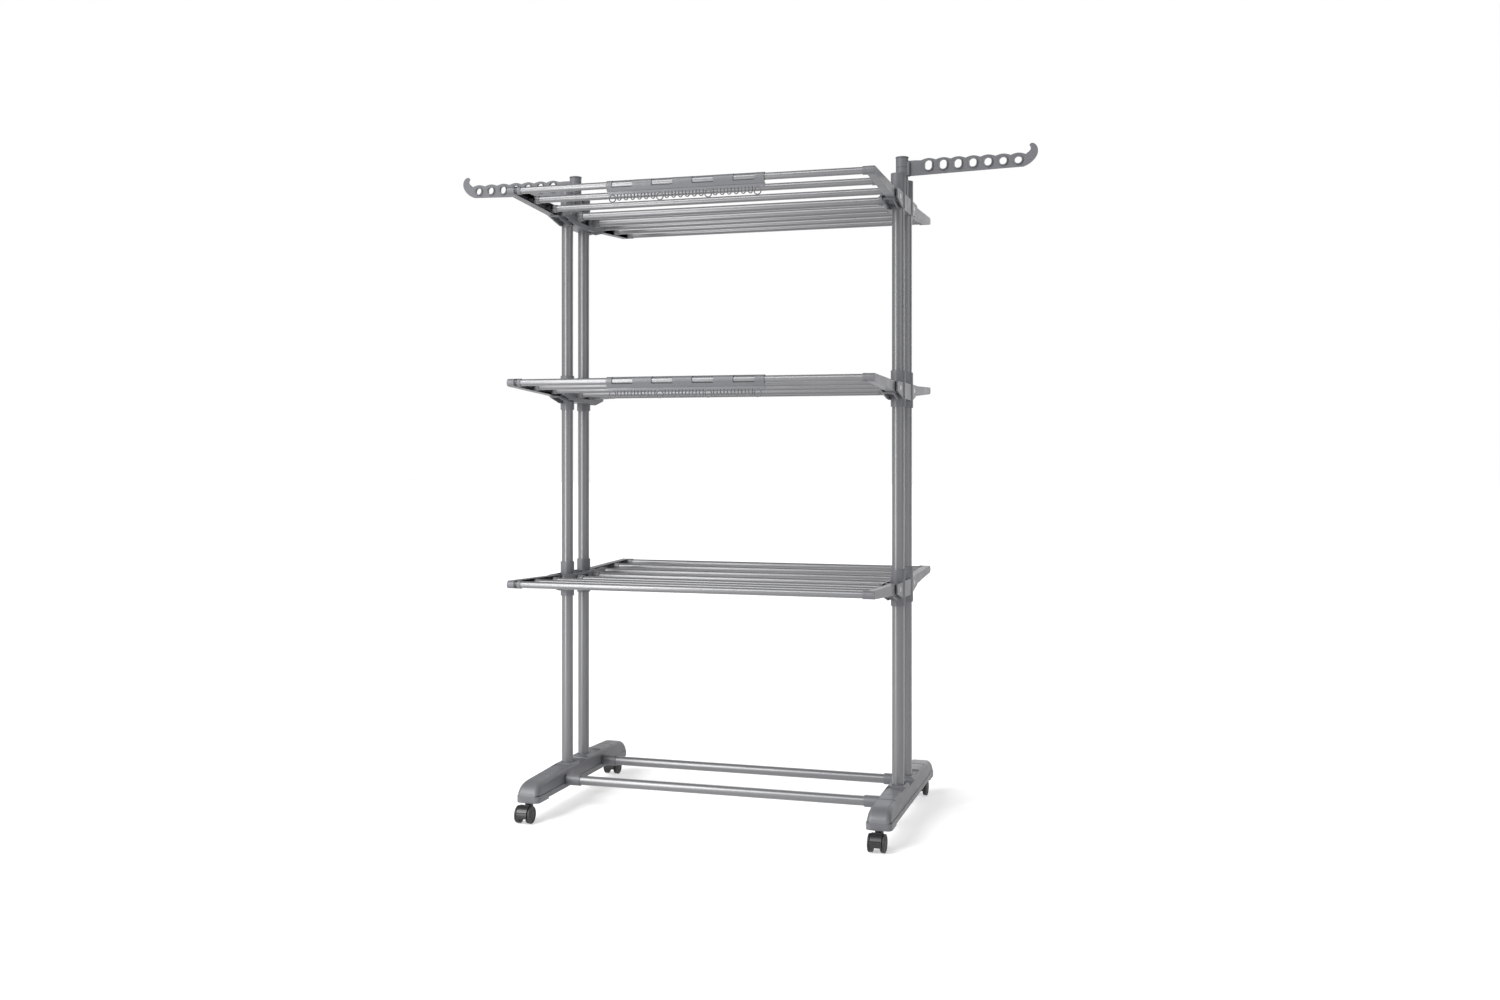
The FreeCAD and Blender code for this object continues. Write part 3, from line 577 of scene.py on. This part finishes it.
FOOT_STEPS = (           # cuts across the back: near end, far end, depth
    (64.5, 102.0, 3.6), (105.0, 106.6, 1.2), (134.0, 135.6, 1.2), (166.5, 170.0, 2.4))
STEP_HALF = 18
RIB_PLACES = (86, 118, 150, 166)
RIB_HALF = 1.2
RIB_INSET = 4
RIB_LOW, RIB_HIGH = 3.4, 12.5
KNOB_PROFILE = ((-3.0, 0), (-3.0, 3.0), (0.5, 2.9), (0.8, 2.5), (0.8, 1.6), (0.2, 1.3), (0.2, 0))
KNOB_INSET = 3.9
KNOB_Y, KNOB_RISE = 245.7, 7.5
KNOB_TURN = 48           # degrees from the foot's side towards its end


class RACK_OT_feet(bpy.types.Operator):
    """Model the right foot and mirror it for the left"""

    bl_idname = "rack.feet"
    bl_label = "Feet"

    def execute(self, context):
        low, high = span("foot_right")
        x0, x1, base = low.x, high.x, low.z
        shell = self.shell(x0, x1, base)
        self.open_up(shell, x0, x1, base)
        foot = join("foot_right_body", [shell] + self.fittings(x0, x1, base))
        left = twin(foot, "foot_left_body", flip="x")
        fit_out(foot, "frame", "grey_plastic", ["foot_right"])
        fit_out(left, "frame", "grey_plastic", ["foot_left"])
        return {"FINISHED"}

    def shell(self, x0, x1, base):
        """Outside of the foot: drawn from the side, tapered to its back, with a lip round it."""
        middle = (x0 + x1) / 2
        band_top = base + sizes().foot_band
        floor = base + LIP_UNDER
        side = list(FOOT_SIDE) + [(FOOT_SIDE[-1][0], floor)]
        outline = [(x0 + LIP_PROUD, -y, z) for y, z in reversed(side)]
        outline += [(x0 + LIP_PROUD, y, z) for y, z in side[1:]]
        foot = plate("foot_right_body", outline, (x1 - x0 - 2 * LIP_PROUD, 0, 0))
        edit(foot)
        for level in sorted({z for y, z in FOOT_SIDE if z > band_top + SAME}):
            pick_points(foot, lambda place: abs(place.z - level) < SAME)
            narrower = 1 - sizes().foot_taper * (level - band_top) / (FOOT_CREST - band_top)
            bpy.ops.transform.resize(value=(narrower, 1, 1), center_override=(middle * MM, 0, 0))

        def along_side(a, b):
            return (a.x - middle) * (b.x - middle) > 0 and max(a.z, b.z) > floor + SAME

        pick_edges(foot, along_side)
        bevel_picked(sizes().foot_edge)
        tidy_normals()
        bpy.ops.object.mode_set(mode="OBJECT")
        end = FOOT_SIDE[-1][0] + LIP_NOSE
        band = block("band", (x0, -end, base), (x1, end, band_top))
        edit(band)
        pick_edges(band, lambda a, b: abs(a.z - b.z) > SAME)
        bevel_picked(sizes().foot_edge + LIP_PROUD)
        bpy.ops.object.mode_set(mode="OBJECT")
        return combine(foot, [band], "UNION")

    def open_up(self, foot, x0, x1, base):
        """Cut the raised underside, the saddle, the sockets and the steps on the back."""
        middle = (x0 + x1) / 2
        undercut = block("undercut", (x0 - OVERSHOOT, -UNDERCUT_Y, base - OVERSHOOT),
                         (x1 + OVERSHOOT, UNDERCUT_Y, base + UNDERCUT_RISE))
        saddle = block("saddle", (x0 - OVERSHOOT, -SADDLE_Y, SADDLE_Z),
                       (x1 + OVERSHOOT, SADDLE_Y, base + SADDLE_TOP))
        round_edges(saddle, 3.0, 4)
        combine(foot, [undercut, saddle])
        cuts = []
        for start in POCKET_STARTS:
            cuts.append(block("pocket", (x0 + POCKET_WALL, start, base),
                              (x1 - POCKET_WALL, start + POCKET_LENGTH, base + OVERSHOOT)))
        radius, socket_floor, length = SOCKET
        for sign in ENDS:
            cuts.append(bar("socket", radius, (middle, sign * POST_Y, socket_floor), "z", length))
        for near, far, depth in FOOT_STEPS:
            top = FOOT_CREST - FOOT_FALL * ((near + far) / 2 - FOOT_FLAT)
            for sign in ENDS:
                ys = sorted((sign * near, sign * far))
                cuts.append(block("step", (middle - STEP_HALF, ys[0], top - depth),
                                  (middle + STEP_HALF, ys[1], top + OVERSHOOT)))
        combine(foot, cuts)
        round_edges(foot, 0.5, 2, 34)

    def fittings(self, x0, x1, base):
        """Ribs under the foot and a small screw plug at each outer corner of the nose."""
        extras = []
        for sign in ENDS:
            for y in RIB_PLACES:
                extras.append(block("rib", (x0 + RIB_INSET, sign * y - RIB_HALF, base + RIB_LOW),
                                    (x1 - RIB_INSET, sign * y + RIB_HALF, base + RIB_HIGH)))
            knob = turned("knob", KNOB_PROFILE, (0, 0, 0), "x", 24)
            knob.rotation_euler = (0, 0, sign * math.radians(KNOB_TURN))
            knob.location = Vector((x1 - KNOB_INSET, sign * KNOB_Y, base + KNOB_RISE)) * MM
            hold(knob)
            extras.append(settle("knob"))
        return extras


TIER_HEIGHTS = {"bottom": 488, "middle": 898, "top": 1288}    # the arms' pivots
HOLLOW_SIDE = (          # under the rest of an open arm: (out from the middle, up from the tier)
    (62.0, -13.8), (80.0, -13.8), (124.0, -4.6), (124.0, -60.0), (62.0, -60.0))
HOLLOW_X, HOLLOW_WIDTH = 356.4, 17.2


class RACK_OT_brackets(bpy.types.Operator):
    """Hollow the brackets under the arms' rests and round their moulded edges"""

    bl_idname = "rack.brackets"
    bl_label = "Brackets"

    def execute(self, context):
        for tier in TIERS:
            for hand, sign in HANDS:
                node = "bracket_" + tier + "_" + hand
                casting = dressed(node, node + "_body", 0)
                hollows = []
                for front in ENDS:
                    outline = [(sign * HOLLOW_X, front * out, TIER_HEIGHTS[tier] + up)
                               for out, up in HOLLOW_SIDE]
                    hollows.append(plate("hollow", outline, (sign * HOLLOW_WIDTH, 0, 0)))
                combine(casting, hollows)
                round_edges(casting, sizes().edge, 2)
                fit_out(casting, "frame", "grey_plastic", [node])
        return {"FINISHED"}


class RACK_OT_trays(bpy.types.Operator):
    """Round the edges of the folding arms, rail plugs and lock rings; the black lock rings are
    painted shade
    """

    bl_idname = "rack.trays"
    bl_label = "Trays"

    def execute(self, context):
        for tier in TIERS:
            for side in ("front", "rear"):
                half = tier + "_" + side
                kinds = [("arms", "grey_plastic", 1.0), ("rail_plugs", "grey_plastic", 0.6)]
                # The front halves' lock rings get black plastic: a dark ring that is painted shade
                # of the gap between arm nose and rail plug
                if side == "front":
                    kinds.append(("lock_rings", "black_plastic", 0.6))
                for kind, slot, width in kinds:
                    node = half + "_" + kind
                    fit_out(dressed(node, node + "_body", width), half + "_tray", slot, [node])
        return {"FINISHED"}


class RACK_OT_fasteners(bpy.types.Operator):
    """Round the heads of the pins and screws, and the cross bars' sleeves"""

    bl_idname = "rack.fasteners"
    bl_label = "Fasteners and sleeves"

    def execute(self, context):
        for node, slot, width in (("hinge_pins", "plated_steel", 0.5),
                                  ("foot_screws", "plated_steel", 0.4),
                                  ("cross_bar_sleeves", "grey_plastic", 0.7)):
            fit_out(dressed(node, node + "_body", width, 3), "frame", slot, [node])
        return {"FINISHED"}


CLIP_RADIUS = 8.6        # outside, round the rail
CLIP_BORE = 7.1
CLIP_STEPS = 16
CLIP_SKIRT = (           # below the rail: (across, up) from the rail's middle
    (8.4, -3.0), (2.8, -13.2), (-2.8, -13.2), (-8.4, -3.0))
CLIP_REACH = 20          # a cutter across the clip runs this far from the rail's middle
WINDOWS = 4
WINDOW_FIRST, WINDOW_PITCH, WINDOW_LENGTH = 12.5, 84, 43.6
WINDOW_LOW, WINDOW_BACK = 6.0, 0.6
SLOT_Y = (-1.8, 12)      # hollow of the skirt, open along its back
SLOT_Z = (-11.4, -2)
SLOT_RUN_OUT = 5
SLANTED_END = (          # cut off the left end below the rail: (along, up)
    (-1, -4), (6.5, -45), (-20, -45), (-20, -4))
BAND_HALF = 2
BAND_Z = (-18.6, -12.4)
LOOP_PITCH = 100.2       # from one large ring to the next
LOOP_PLACES = 7          # parts that the pitch is divided into
FIRST_EYE = 11.4
EYES = 4
EYE_RADIUS, LOOP_RADIUS = 8, 4.75
LOOP_HANG = 8.0          # middles of the rings over the strip's lowest point
LOOP_LEG = 9.4
RING_STRETCH = 1.45


class RACK_OT_strips(bpy.types.Operator):
    """Model the top tier's hanger strip and copy it for the middle tier"""

    bl_idname = "rack.strips"
    bl_label = "Hanger strips"

    def execute(self, context):
        low, high = span("hanger_strip_top")
        x0, x1 = low.x, high.x
        y, z = (low.y + high.y) / 2, high.z - CLIP_RADIUS
        clip, band = self.clip(x0, x1, y, z)
        eye, loop = self.rings(x0 + FIRST_EYE, y, low.z + LOOP_HANG)
        strip = join("hanger_strip_top_body", [clip, band, eye, loop])
        drop = span("hanger_strip_middle")[1].z - high.z
        lower = twin(strip, "hanger_strip_middle_body", shift=(0, 0, drop))
        fit_out(strip, "top_front_tray", "grey_plastic", ["hanger_strip_top"])
        fit_out(lower, "middle_front_tray", "grey_plastic", ["hanger_strip_middle"])
        return {"FINISHED"}

    def clip(self, x0, x1, y, z):
        """Clip round the rail with its windows, and the band along its lower edge."""
        section = []
        for step in range(CLIP_STEPS + 1):
            turn = math.pi * step / CLIP_STEPS
            section.append((y - CLIP_RADIUS * math.cos(turn), z + CLIP_RADIUS * math.sin(turn)))
        section += [(y + across, z + up) for across, up in CLIP_SKIRT]
        clip = plate("hanger_strip_top_body", [(x0, a, b) for a, b in section], (x1 - x0, 0, 0))
        cuts = [bar("bore", CLIP_BORE, (x0 - SLOT_RUN_OUT, y, z), "x",
                    x1 - x0 + 2 * SLOT_RUN_OUT, 40)]
        for i in range(WINDOWS):
            start = x0 + WINDOW_FIRST + WINDOW_PITCH * i
            cuts.append(block("window", (start, y - CLIP_REACH, z - WINDOW_LOW),
                              (start + WINDOW_LENGTH, y - WINDOW_BACK, z + CLIP_REACH)))
        cuts.append(block("slot", (x0 - SLOT_RUN_OUT, y + SLOT_Y[0], z + SLOT_Z[0]),
                          (x1 + SLOT_RUN_OUT, y + SLOT_Y[1], z + SLOT_Z[1])))
        combine(clip, cuts)
        slant = plate("slant", [(x0 + along, y - CLIP_REACH, z + up) for along, up in SLANTED_END],
                      (0, 2 * CLIP_REACH, 0))
        band = block("band", (x0, y - BAND_HALF, z + BAND_Z[0]), (x1, y + BAND_HALF, z + BAND_Z[1]))
        combine(band, [twin(slant, "slant_copy")])
        combine(clip, [slant])
        round_edges(clip, 0.45, 2)
        round_edges(band, 0.5, 2)
        return clip, band

    def rings(self, first, y, hang):
        """The row of large closed rings, and the small loops between them."""
        wire = sizes().loop_wire
        step = LOOP_PITCH / LOOP_PLACES
        eye = ring("eye", EYE_RADIUS - wire, wire, (first, y, hang), "y", 40)
        stretch_rings(eye)
        repeat(eye, EYES, LOOP_PITCH)
        loop = ring("loop", LOOP_RADIUS - wire, wire, (first + step, y, hang), "y")
        edit(loop)
        bpy.ops.mesh.select_all(action="SELECT")
        bpy.ops.mesh.bisect(plane_co=(0, 0, hang * MM), plane_no=(0, 0, 1), clear_outer=True)
        pick_edges(loop, lambda a, b: abs(a.z - hang) < SAME and abs(b.z - hang) < SAME)
        bpy.ops.mesh.extrude_region_move(TRANSFORM_OT_translate={"value": (0, 0, LOOP_LEG * MM)})
        bpy.ops.mesh.edge_face_add()
        tidy_normals()
        bpy.ops.object.mode_set(mode="OBJECT")
        stretch_rings(loop)
        repeat(loop, sizes().loops, step)
        repeat(loop, EYES - 1, LOOP_PITCH)
        return eye, loop


def stretch_rings(piece):
    """Widen a ring of round wire across the strip, from front to back."""
    low = min(v.co.y for v in piece.data.vertices)
    high = max(v.co.y for v in piece.data.vertices)
    edit(piece)
    bpy.ops.mesh.select_all(action="SELECT")
    bpy.ops.transform.resize(value=(1, RING_STRETCH, 1),
                             center_override=(0, (low + high) / 2, 0))
    bpy.ops.object.mode_set(mode="OBJECT")


def repeat(piece, count, step):
    """Copies of a piece in a row along X."""
    modify(piece, "ARRAY", count=count, use_relative_offset=False, use_constant_offset=True,
           constant_offset_displace=(step * MM, 0, 0))


WING_HALF = 4.5          # half thickness of a wing
WING_HOLES = 7
HOLE_PITCH = 30.7
FIRST_HOLE = 55.6        # from the wing's pin
HOLE_HEIGHT = 20.8       # of the first hole; each next one is a millimetre lower
HOLE_HALF = 7.4
HOLE_RISE = 21.0
HOLE_POINTS = 40
HOLE_RIM = 2.1
SCALLOP_START = 40.25
SCALLOP_FOOT, SCALLOP_RISE = 32.0, 3.6
SCALLOP_STEPS = 8
WING_ROOT = (            # (out from the pin, height over the collar's foot)
    (11.0, 0.0), (11.0, 32.4), (28.0, 32.4), (37.0, SCALLOP_FOOT))
HOOK_LINE = (            # round the hook and back under it, measured in the same way
    (262.0, 37.5), (265.2, 41.5), (264.6, 46.0), (262.4, 49.0), (263.0, 51.5), (265.6, 53.6),
    (268.8, 54.0), (272.2, 52.6), (275.0, 50.4), (277.8, 46.4), (279.4, 41.6), (279.6, 36.4),
    (278.6, 31.0), (276.3, 26.4), (273.8, 22.4), (270.6, 18.8), (267.0, 15.6), (262.7, 12.2),
    (257.0, 9.2), (250.8, 6.6))
COLLAR_GROOVE = 18.0
GUSSET_X = (8, 16.5)
GUSSET_Z = (0.3, 30)
GUSSET_OUT, GUSSET_HALF = 1.2, 1.4


def wing_points(pin_x, base, y):
    """Outline of the right wing's plate."""
    points = list(WING_ROOT)
    for i in range(WING_HOLES):
        start = SCALLOP_START + HOLE_PITCH * i
        for k in range(0 if i == 0 else 1, SCALLOP_STEPS + 1):
            share = k / SCALLOP_STEPS
            points.append((start + HOLE_PITCH * share,
                           SCALLOP_FOOT + SCALLOP_RISE * math.sin(math.pi * share)))
    points += HOOK_LINE
    return [(pin_x + out, y, base + up) for out, up in points]


def wing_hole(pin_x, base, index, margin, y0, y1):
    """Upright oval through the wing; margin makes it larger."""
    out = FIRST_HOLE + HOLE_PITCH * index
    half = HOLE_HALF + margin
    rise = max((HOLE_HEIGHT - index - 2 * HOLE_HALF) / 2, 0)
    z = base + HOLE_RISE
    points = []
    for k in range(HOLE_POINTS):
        turn = 2 * math.pi * (k + 0.5) / HOLE_POINTS
        up = half * math.sin(turn)
        points.append((pin_x + out + half * math.cos(turn), y0, z + up + math.copysign(rise, up)))
    return plate("hole", points, (0, y1 - y0, 0))


def wing_holes(pin_x, base, margin, y0, y1):
    return [wing_hole(pin_x, base, i, margin, y0, y1) for i in range(WING_HOLES)]


class RACK_OT_wings(bpy.types.Operator):
    """Model the right wing and its cap and mirror them for the left"""

    bl_idname = "rack.wings"
    bl_label = "Wings"

    def execute(self, context):
        base = span("wing_right")[0].z
        cap_low, cap_high = span("wing_cap_right")
        pin_x = (cap_low.x + cap_high.x) / 2
        wing = self.blade(pin_x, base)
        wing = join("wing_right_body", [wing] + self.root(pin_x, base, cap_low.z - base))
        thick = cap_high.z - cap_low.z
        cap = turned("wing_cap_right_body",
                     ((0, 0), (0, 13.2), (0.4, 13.8), (thick - 1.1, 13.8), (thick - 0.35, 13.3),
                      (thick, 12.3), (thick, 9.4), (thick - 0.7, 8.9), (thick - 0.7, 0)),
                     (pin_x, 0, cap_low.z), "z")
        for piece, name in ((wing, "wing"), (cap, "wing_cap")):
            left = twin(piece, name + "_left_body", flip="x")
            fit_out(piece, "right_wing", "grey_plastic", [name + "_right"])
            fit_out(left, "left_wing", "grey_plastic", [name + "_left"])
        return {"FINISHED"}

    def blade(self, pin_x, base):
        """The wing's plate, sunk between its rims on both faces and pierced."""
        outline = wing_points(pin_x, base, -WING_HALF)
        wing = plate("wing_right_body", outline, (0, 2 * WING_HALF, 0))
        depth = sizes().wing_recess
        sinks = []
        for y0, y1 in ((-WING_HALF - 3, -WING_HALF + depth), (WING_HALF - depth, WING_HALF + 3)):
            sink = sheet_of("sink", [(x, y0, z) for x, y, z in outline])
            bpy.ops.mesh.inset(thickness=sizes().wing_rim * MM, use_even_offset=True)
            bpy.ops.mesh.select_all(action="INVERT")
            bpy.ops.mesh.delete(type="FACE")
            bpy.ops.mesh.select_all(action="SELECT")
            push_out((0, y1 - y0, 0))
            combine(sink, wing_holes(pin_x, base, HOLE_RIM, y0 - 2, y1 + 2))
            sinks.append(sink)
        combine(wing, sinks)
        combine(wing, wing_holes(pin_x, base, 0, -OVERSHOOT, OVERSHOOT))
        round_edges(wing, 0.45, 2, 40)
        return wing

    def root(self, pin_x, base, height):
        """Grooved collar round the pin, and the two gussets that tie the plate to it."""
        groove = COLLAR_GROOVE
        pieces = [turned("collar", ((0, 0), (0, 11.6), (0.8, 12.6), (2.0, 13.0),
                                    (groove - 0.5, 13.0), (groove, 12.3), (groove + 0.5, 12.3),
                                    (groove + 1.0, 13.0), (height - 0.4, 13.0), (height, 12.4),
                                    (height, 0)), (pin_x, 0, base), "z")]
        for y in (-WING_HALF - GUSSET_OUT, WING_HALF + GUSSET_OUT):
            gusset = block("gusset", (pin_x + GUSSET_X[0], y - GUSSET_HALF, base + GUSSET_Z[0]),
                           (pin_x + GUSSET_X[1], y + GUSSET_HALF, base + GUSSET_Z[1]))
            round_edges(gusset, 0.9, 3)
            pieces.append(gusset)
        return pieces


HOOD_HALF = 11.5         # half width of the drum between the wheels' faces
HOOD_DROP = 5.5          # its front edge hangs this far below the axle
HOOD_STEPS = 40
HOOD_BACK = 1.0          # the open underside's edge behind the axle
HOOD_WALL = 0.95
ROOM_X, ROOM_WIDTH = 7.2, 10
SEAM_Z = (6.0, 6.9)
SEAM_Y = (-40, -5)       # it crosses the front only
SEAM_DEPTH = 0.6
SEAM_REACH = 20
STEM_Y = 20              # the stem stands this far behind the axle
STEM_HOLE = 4.0
NECK_RADIUS = 8.5
SPOKES = 6
SPOKE_X = (15.4, 16.5)
SPOKE_HALF = 1.1
SPOKE_INNER, SPOKE_RIM = 7.6, 3.6


class RACK_OT_casters(bpy.types.Operator):
    """Model one caster and copy it to the four corners"""

    bl_idname = "rack.casters"
    bl_label = "Casters"

    def execute(self, context):
        places = {}
        for end in ("front", "rear"):
            for hand, _ in HANDS:
                node = "caster_" + end + "_" + hand
                low, high = span(node + "_wheels")
                places[node] = (low + high) / 2
        home = places["caster_front_right"]
        hood = self.hood(*home, span("caster_front_right_hood")[1].z - home.z)
        wheels = self.wheels(*home, home.z)     # on the floor, so as high as their radius
        for node, place in places.items():
            shift = place - home
            own_hood = twin(hood, node + "_hood_body", shift=shift)
            own_wheels = twin(wheels, node + "_wheels_body", shift=shift)
            fit_out(own_hood, node, "black_plastic", [node + "_hood"])
            fit_out(own_wheels, node + "_wheel_pair", "black_tread", [node + "_wheels"])
        for spare in (hood, wheels):
            hold(spare)
            bpy.ops.object.delete()
        return {"FINISHED"}

    def hood(self, x, y, z, radius):
        """Drum between the wheels, with a seam across its front and a neck for the stem."""
        front = 180 + math.degrees(math.asin(HOOD_DROP / radius))
        outline = []
        for k in range(HOOD_STEPS + 1):
            turn = math.radians(front * (1 - k / HOOD_STEPS))
            outline.append((x - HOOD_HALF, y + radius * math.cos(turn),
                            z + radius * math.sin(turn)))
        outline.append((x - HOOD_HALF, y + HOOD_BACK, z - HOOD_DROP))
        drum = plate("hood", outline, (2 * HOOD_HALF, 0, 0))
        start = (x - SEAM_REACH, y, z)
        seam = bar("seam", radius + 2, start, "x", 2 * SEAM_REACH, 64)
        combine(seam, [bar("seam_core", radius - SEAM_DEPTH, start, "x", 2 * SEAM_REACH, 64)])
        front_strip = block("front_strip", (x - SEAM_REACH - 10, y + SEAM_Y[0], z + SEAM_Z[0]),
                            (x + SEAM_REACH + 10, y + SEAM_Y[1], z + SEAM_Z[1]))
        combine(seam, [front_strip], "INTERSECT")
        rooms = [bar("room", radius - HOOD_WALL, (start, y, z), "x", ROOM_WIDTH, 64)
                 for start in (x + ROOM_X, x - ROOM_X - ROOM_WIDTH)]
        combine(drum, rooms)
        combine(drum, [seam])
        combine(drum, [bar("neck", NECK_RADIUS, (x, y + STEM_Y, z + 2), "z", radius - 2)], "UNION")
        combine(drum, [bar("stem_hole", STEM_HOLE, (x, y + STEM_Y, z + 1), "z", 22, 32)])
        round_edges(drum, 0.55, 3, 34)
        return drum

    def wheels(self, x, y, z, radius):
        """Two turned wheels with sunk discs and hub caps."""
        profile = ((8.0, 2.6), (8.0, radius - 1.4), (8.6, radius - 0.5), (11.4, radius - 0.4),
                   (11.7, radius - 1.6), (12.9, radius - 1.6), (13.2, radius - 0.4),
                   (13.8, radius), (15.6, radius), (16.6, radius - 0.5), (17.0, radius - 1.5),
                   (17.0, radius - 3.2), (16.1, radius - 4.0), (15.8, 9.2), (16.1, 8.2),
                   (16.8, 7.4), (17.0, 6.4), (17.0, 2.2), (16.7, 1.6), (16.7, 0.0),
                   (10.0, 0.0), (10.0, 2.6), (8.0, 2.6))
        pieces = [turned("wheel", profile, (x, y, z), "x", 72)]
        for k in range(SPOKES):
            spoke = block("spoke", (SPOKE_X[0], -SPOKE_HALF, SPOKE_INNER),
                          (SPOKE_X[1], SPOKE_HALF, radius - SPOKE_RIM))
            round_edges(spoke, 0.4, 2)
            edit(spoke)
            bpy.ops.mesh.select_all(action="SELECT")
            bpy.ops.transform.rotate(value=2 * math.pi * k / SPOKES, orient_axis="X",
                                     center_override=(0, 0, 0))
            bpy.ops.transform.translate(value=Vector((x, y, z)) * MM)
            bpy.ops.object.mode_set(mode="OBJECT")
            pieces.append(spoke)
        right = join("wheel", pieces)
        left = twin(right, "wheel_left", flip="x", shift=(2 * x, 0, 0))
        return join("wheels", [right, left])


FLOOR_TONES = ((0.61, 0.61, 0.61), (0.63, 0.63, 0.63))
FLOOR_GLOW = 0.45
ROOM_LIGHT = 0.30
SUNS = (                 # name, where it stands, its width in degrees, strength
    ("key_softbox", (-0.50, -0.60, 0.62), 40, 3.4),
    ("fill", (0.86, -0.38, 0.34), 50, 0.8),
    ("back_fill", (0.12, 0.90, 0.42), 60, 1.1))
STRIP_PLACE = (-0.75, -1.6, 0.85)
STRIP_SIZE = (0.20, 1.65)
STRIP_POWER = 22.0
CAMERA_PLACE = (0.9156, -2.9335, 0.767)
CAMERA_TURN = 16.86      # degrees, to the left of straight back
CAMERA_LENS = 34.04
CAMERA_SHIFT = (0.0034, -0.0319)


def stand(name, item):
    """Put a light or a camera in the scene."""
    holder = bpy.data.objects.new(name, item)
    bpy.context.scene.collection.objects.link(holder)
    return holder


def look_from(holder, towards):
    """Turn a light so that it shines from a direction."""
    holder.rotation_euler = Vector(towards).to_track_quat("Z", "Y").to_euler()


class RACK_OT_stage(bpy.types.Operator):
    """Set the pale floor, the soft studio light and the camera"""

    bl_idname = "rack.stage"
    bl_label = "Stage"

    def execute(self, context):
        context.scene.view_settings.view_transform = "Standard"
        context.scene.view_settings.look = "None"
        self.floor()
        self.room(context.scene)
        self.lights()
        self.camera(context.scene)
        return {"FINISHED"}

    def floor(self):
        let_go()
        bpy.ops.mesh.primitive_plane_add(size=60, location=(0, 0, -0.0005))
        floor = settle("studio_floor")
        paint = Finish("studio_floor_paint")
        mottle = paint.noise(3.0, 2.0)
        floor.data.materials.append(paint.done(
            Base_Color=paint.blend(mottle, *FLOOR_TONES),
            Roughness=0.9, Emission_Color=(1, 1, 1, 1), Emission_Strength=FLOOR_GLOW))

    def room(self, scene):
        """Soft light from all round, with a white backdrop where the camera sees it."""
        world = bpy.data.worlds.new("studio")
        scene.world = world
        world.use_nodes = True
        tree = world.node_tree
        soft = tree.nodes["Background"]
        soft.inputs["Color"].default_value = (1, 1, 1, 1)
        soft.inputs["Strength"].default_value = ROOM_LIGHT
        backdrop = tree.nodes.new("ShaderNodeBackground")
        backdrop.inputs["Color"].default_value = (1, 1, 1, 1)
        rays = tree.nodes.new("ShaderNodeLightPath")
        choice = tree.nodes.new("ShaderNodeMixShader")
        tree.links.new(rays.outputs["Is Camera Ray"], choice.inputs[0])
        tree.links.new(soft.outputs[0], choice.inputs[1])
        tree.links.new(backdrop.outputs[0], choice.inputs[2])
        tree.links.new(choice.outputs[0], tree.nodes["World Output"].inputs[0])

    def lights(self):
        for name, towards, angle, strength in SUNS:
            light = bpy.data.lights.new(name, "SUN")
            light.angle = math.radians(angle)
            light.energy = strength
            look_from(stand(name, light), towards)
        strip = bpy.data.lights.new("strip_softbox", "AREA")
        strip.shape = "RECTANGLE"
        strip.size, strip.size_y = STRIP_SIZE
        strip.energy = STRIP_POWER
        holder = stand("strip_softbox", strip)
        holder.location = STRIP_PLACE
        look_from(holder, (STRIP_PLACE[0], STRIP_PLACE[1], 0))
        holder.visible_camera = False

    def camera(self, scene):
        lens = bpy.data.cameras.new("camera")
        lens.lens = CAMERA_LENS
        lens.sensor_width = 36.0
        lens.shift_x, lens.shift_y = CAMERA_SHIFT
        camera = stand("camera", lens)
        camera.location = CAMERA_PLACE
        camera.rotation_euler = (math.radians(90), 0, math.radians(CAMERA_TURN))
        scene.camera = camera


STEPS = (RACK_OT_finishes, RACK_OT_feet, RACK_OT_brackets, RACK_OT_trays, RACK_OT_fasteners,
         RACK_OT_strips, RACK_OT_wings, RACK_OT_casters, RACK_OT_stage)


class RACK_PT_sidebar(bpy.types.Panel):
    """Sizes, colours and steps of the drying rack"""

    bl_idname = "RACK_PT_sidebar"
    bl_label = "Clothes drying rack"
    bl_space_type = "VIEW_3D"
    bl_region_type = "UI"
    bl_category = "Rack"

    def draw(self, context):
        for group in (context.scene.rack_finishes, context.scene.rack_sizes):
            column = self.layout.column()
            for name in group.__annotations__:
                column.prop(group, name)
        for step in STEPS:
            self.layout.operator(step.bl_idname)


CLASSES = (RackFinishes, RackSizes, *STEPS, RACK_PT_sidebar)


def register():
    for kind in CLASSES:
        bpy.utils.register_class(kind)
    bpy.types.Scene.rack_finishes = PointerProperty(type=RackFinishes)
    bpy.types.Scene.rack_sizes = PointerProperty(type=RackSizes)


def unregister():
    del bpy.types.Scene.rack_sizes
    del bpy.types.Scene.rack_finishes
    for kind in reversed(CLASSES):
        bpy.utils.unregister_class(kind)


def main():
    """Build the rack."""
    register()
    bpy.ops.rack.finishes()
    bpy.ops.rack.feet()
    bpy.ops.rack.brackets()
    bpy.ops.rack.trays()
    bpy.ops.rack.fasteners()
    bpy.ops.rack.strips()
    bpy.ops.rack.wings()
    bpy.ops.rack.casters()
    bpy.ops.rack.stage()


if __name__ == "__main__":
    main()
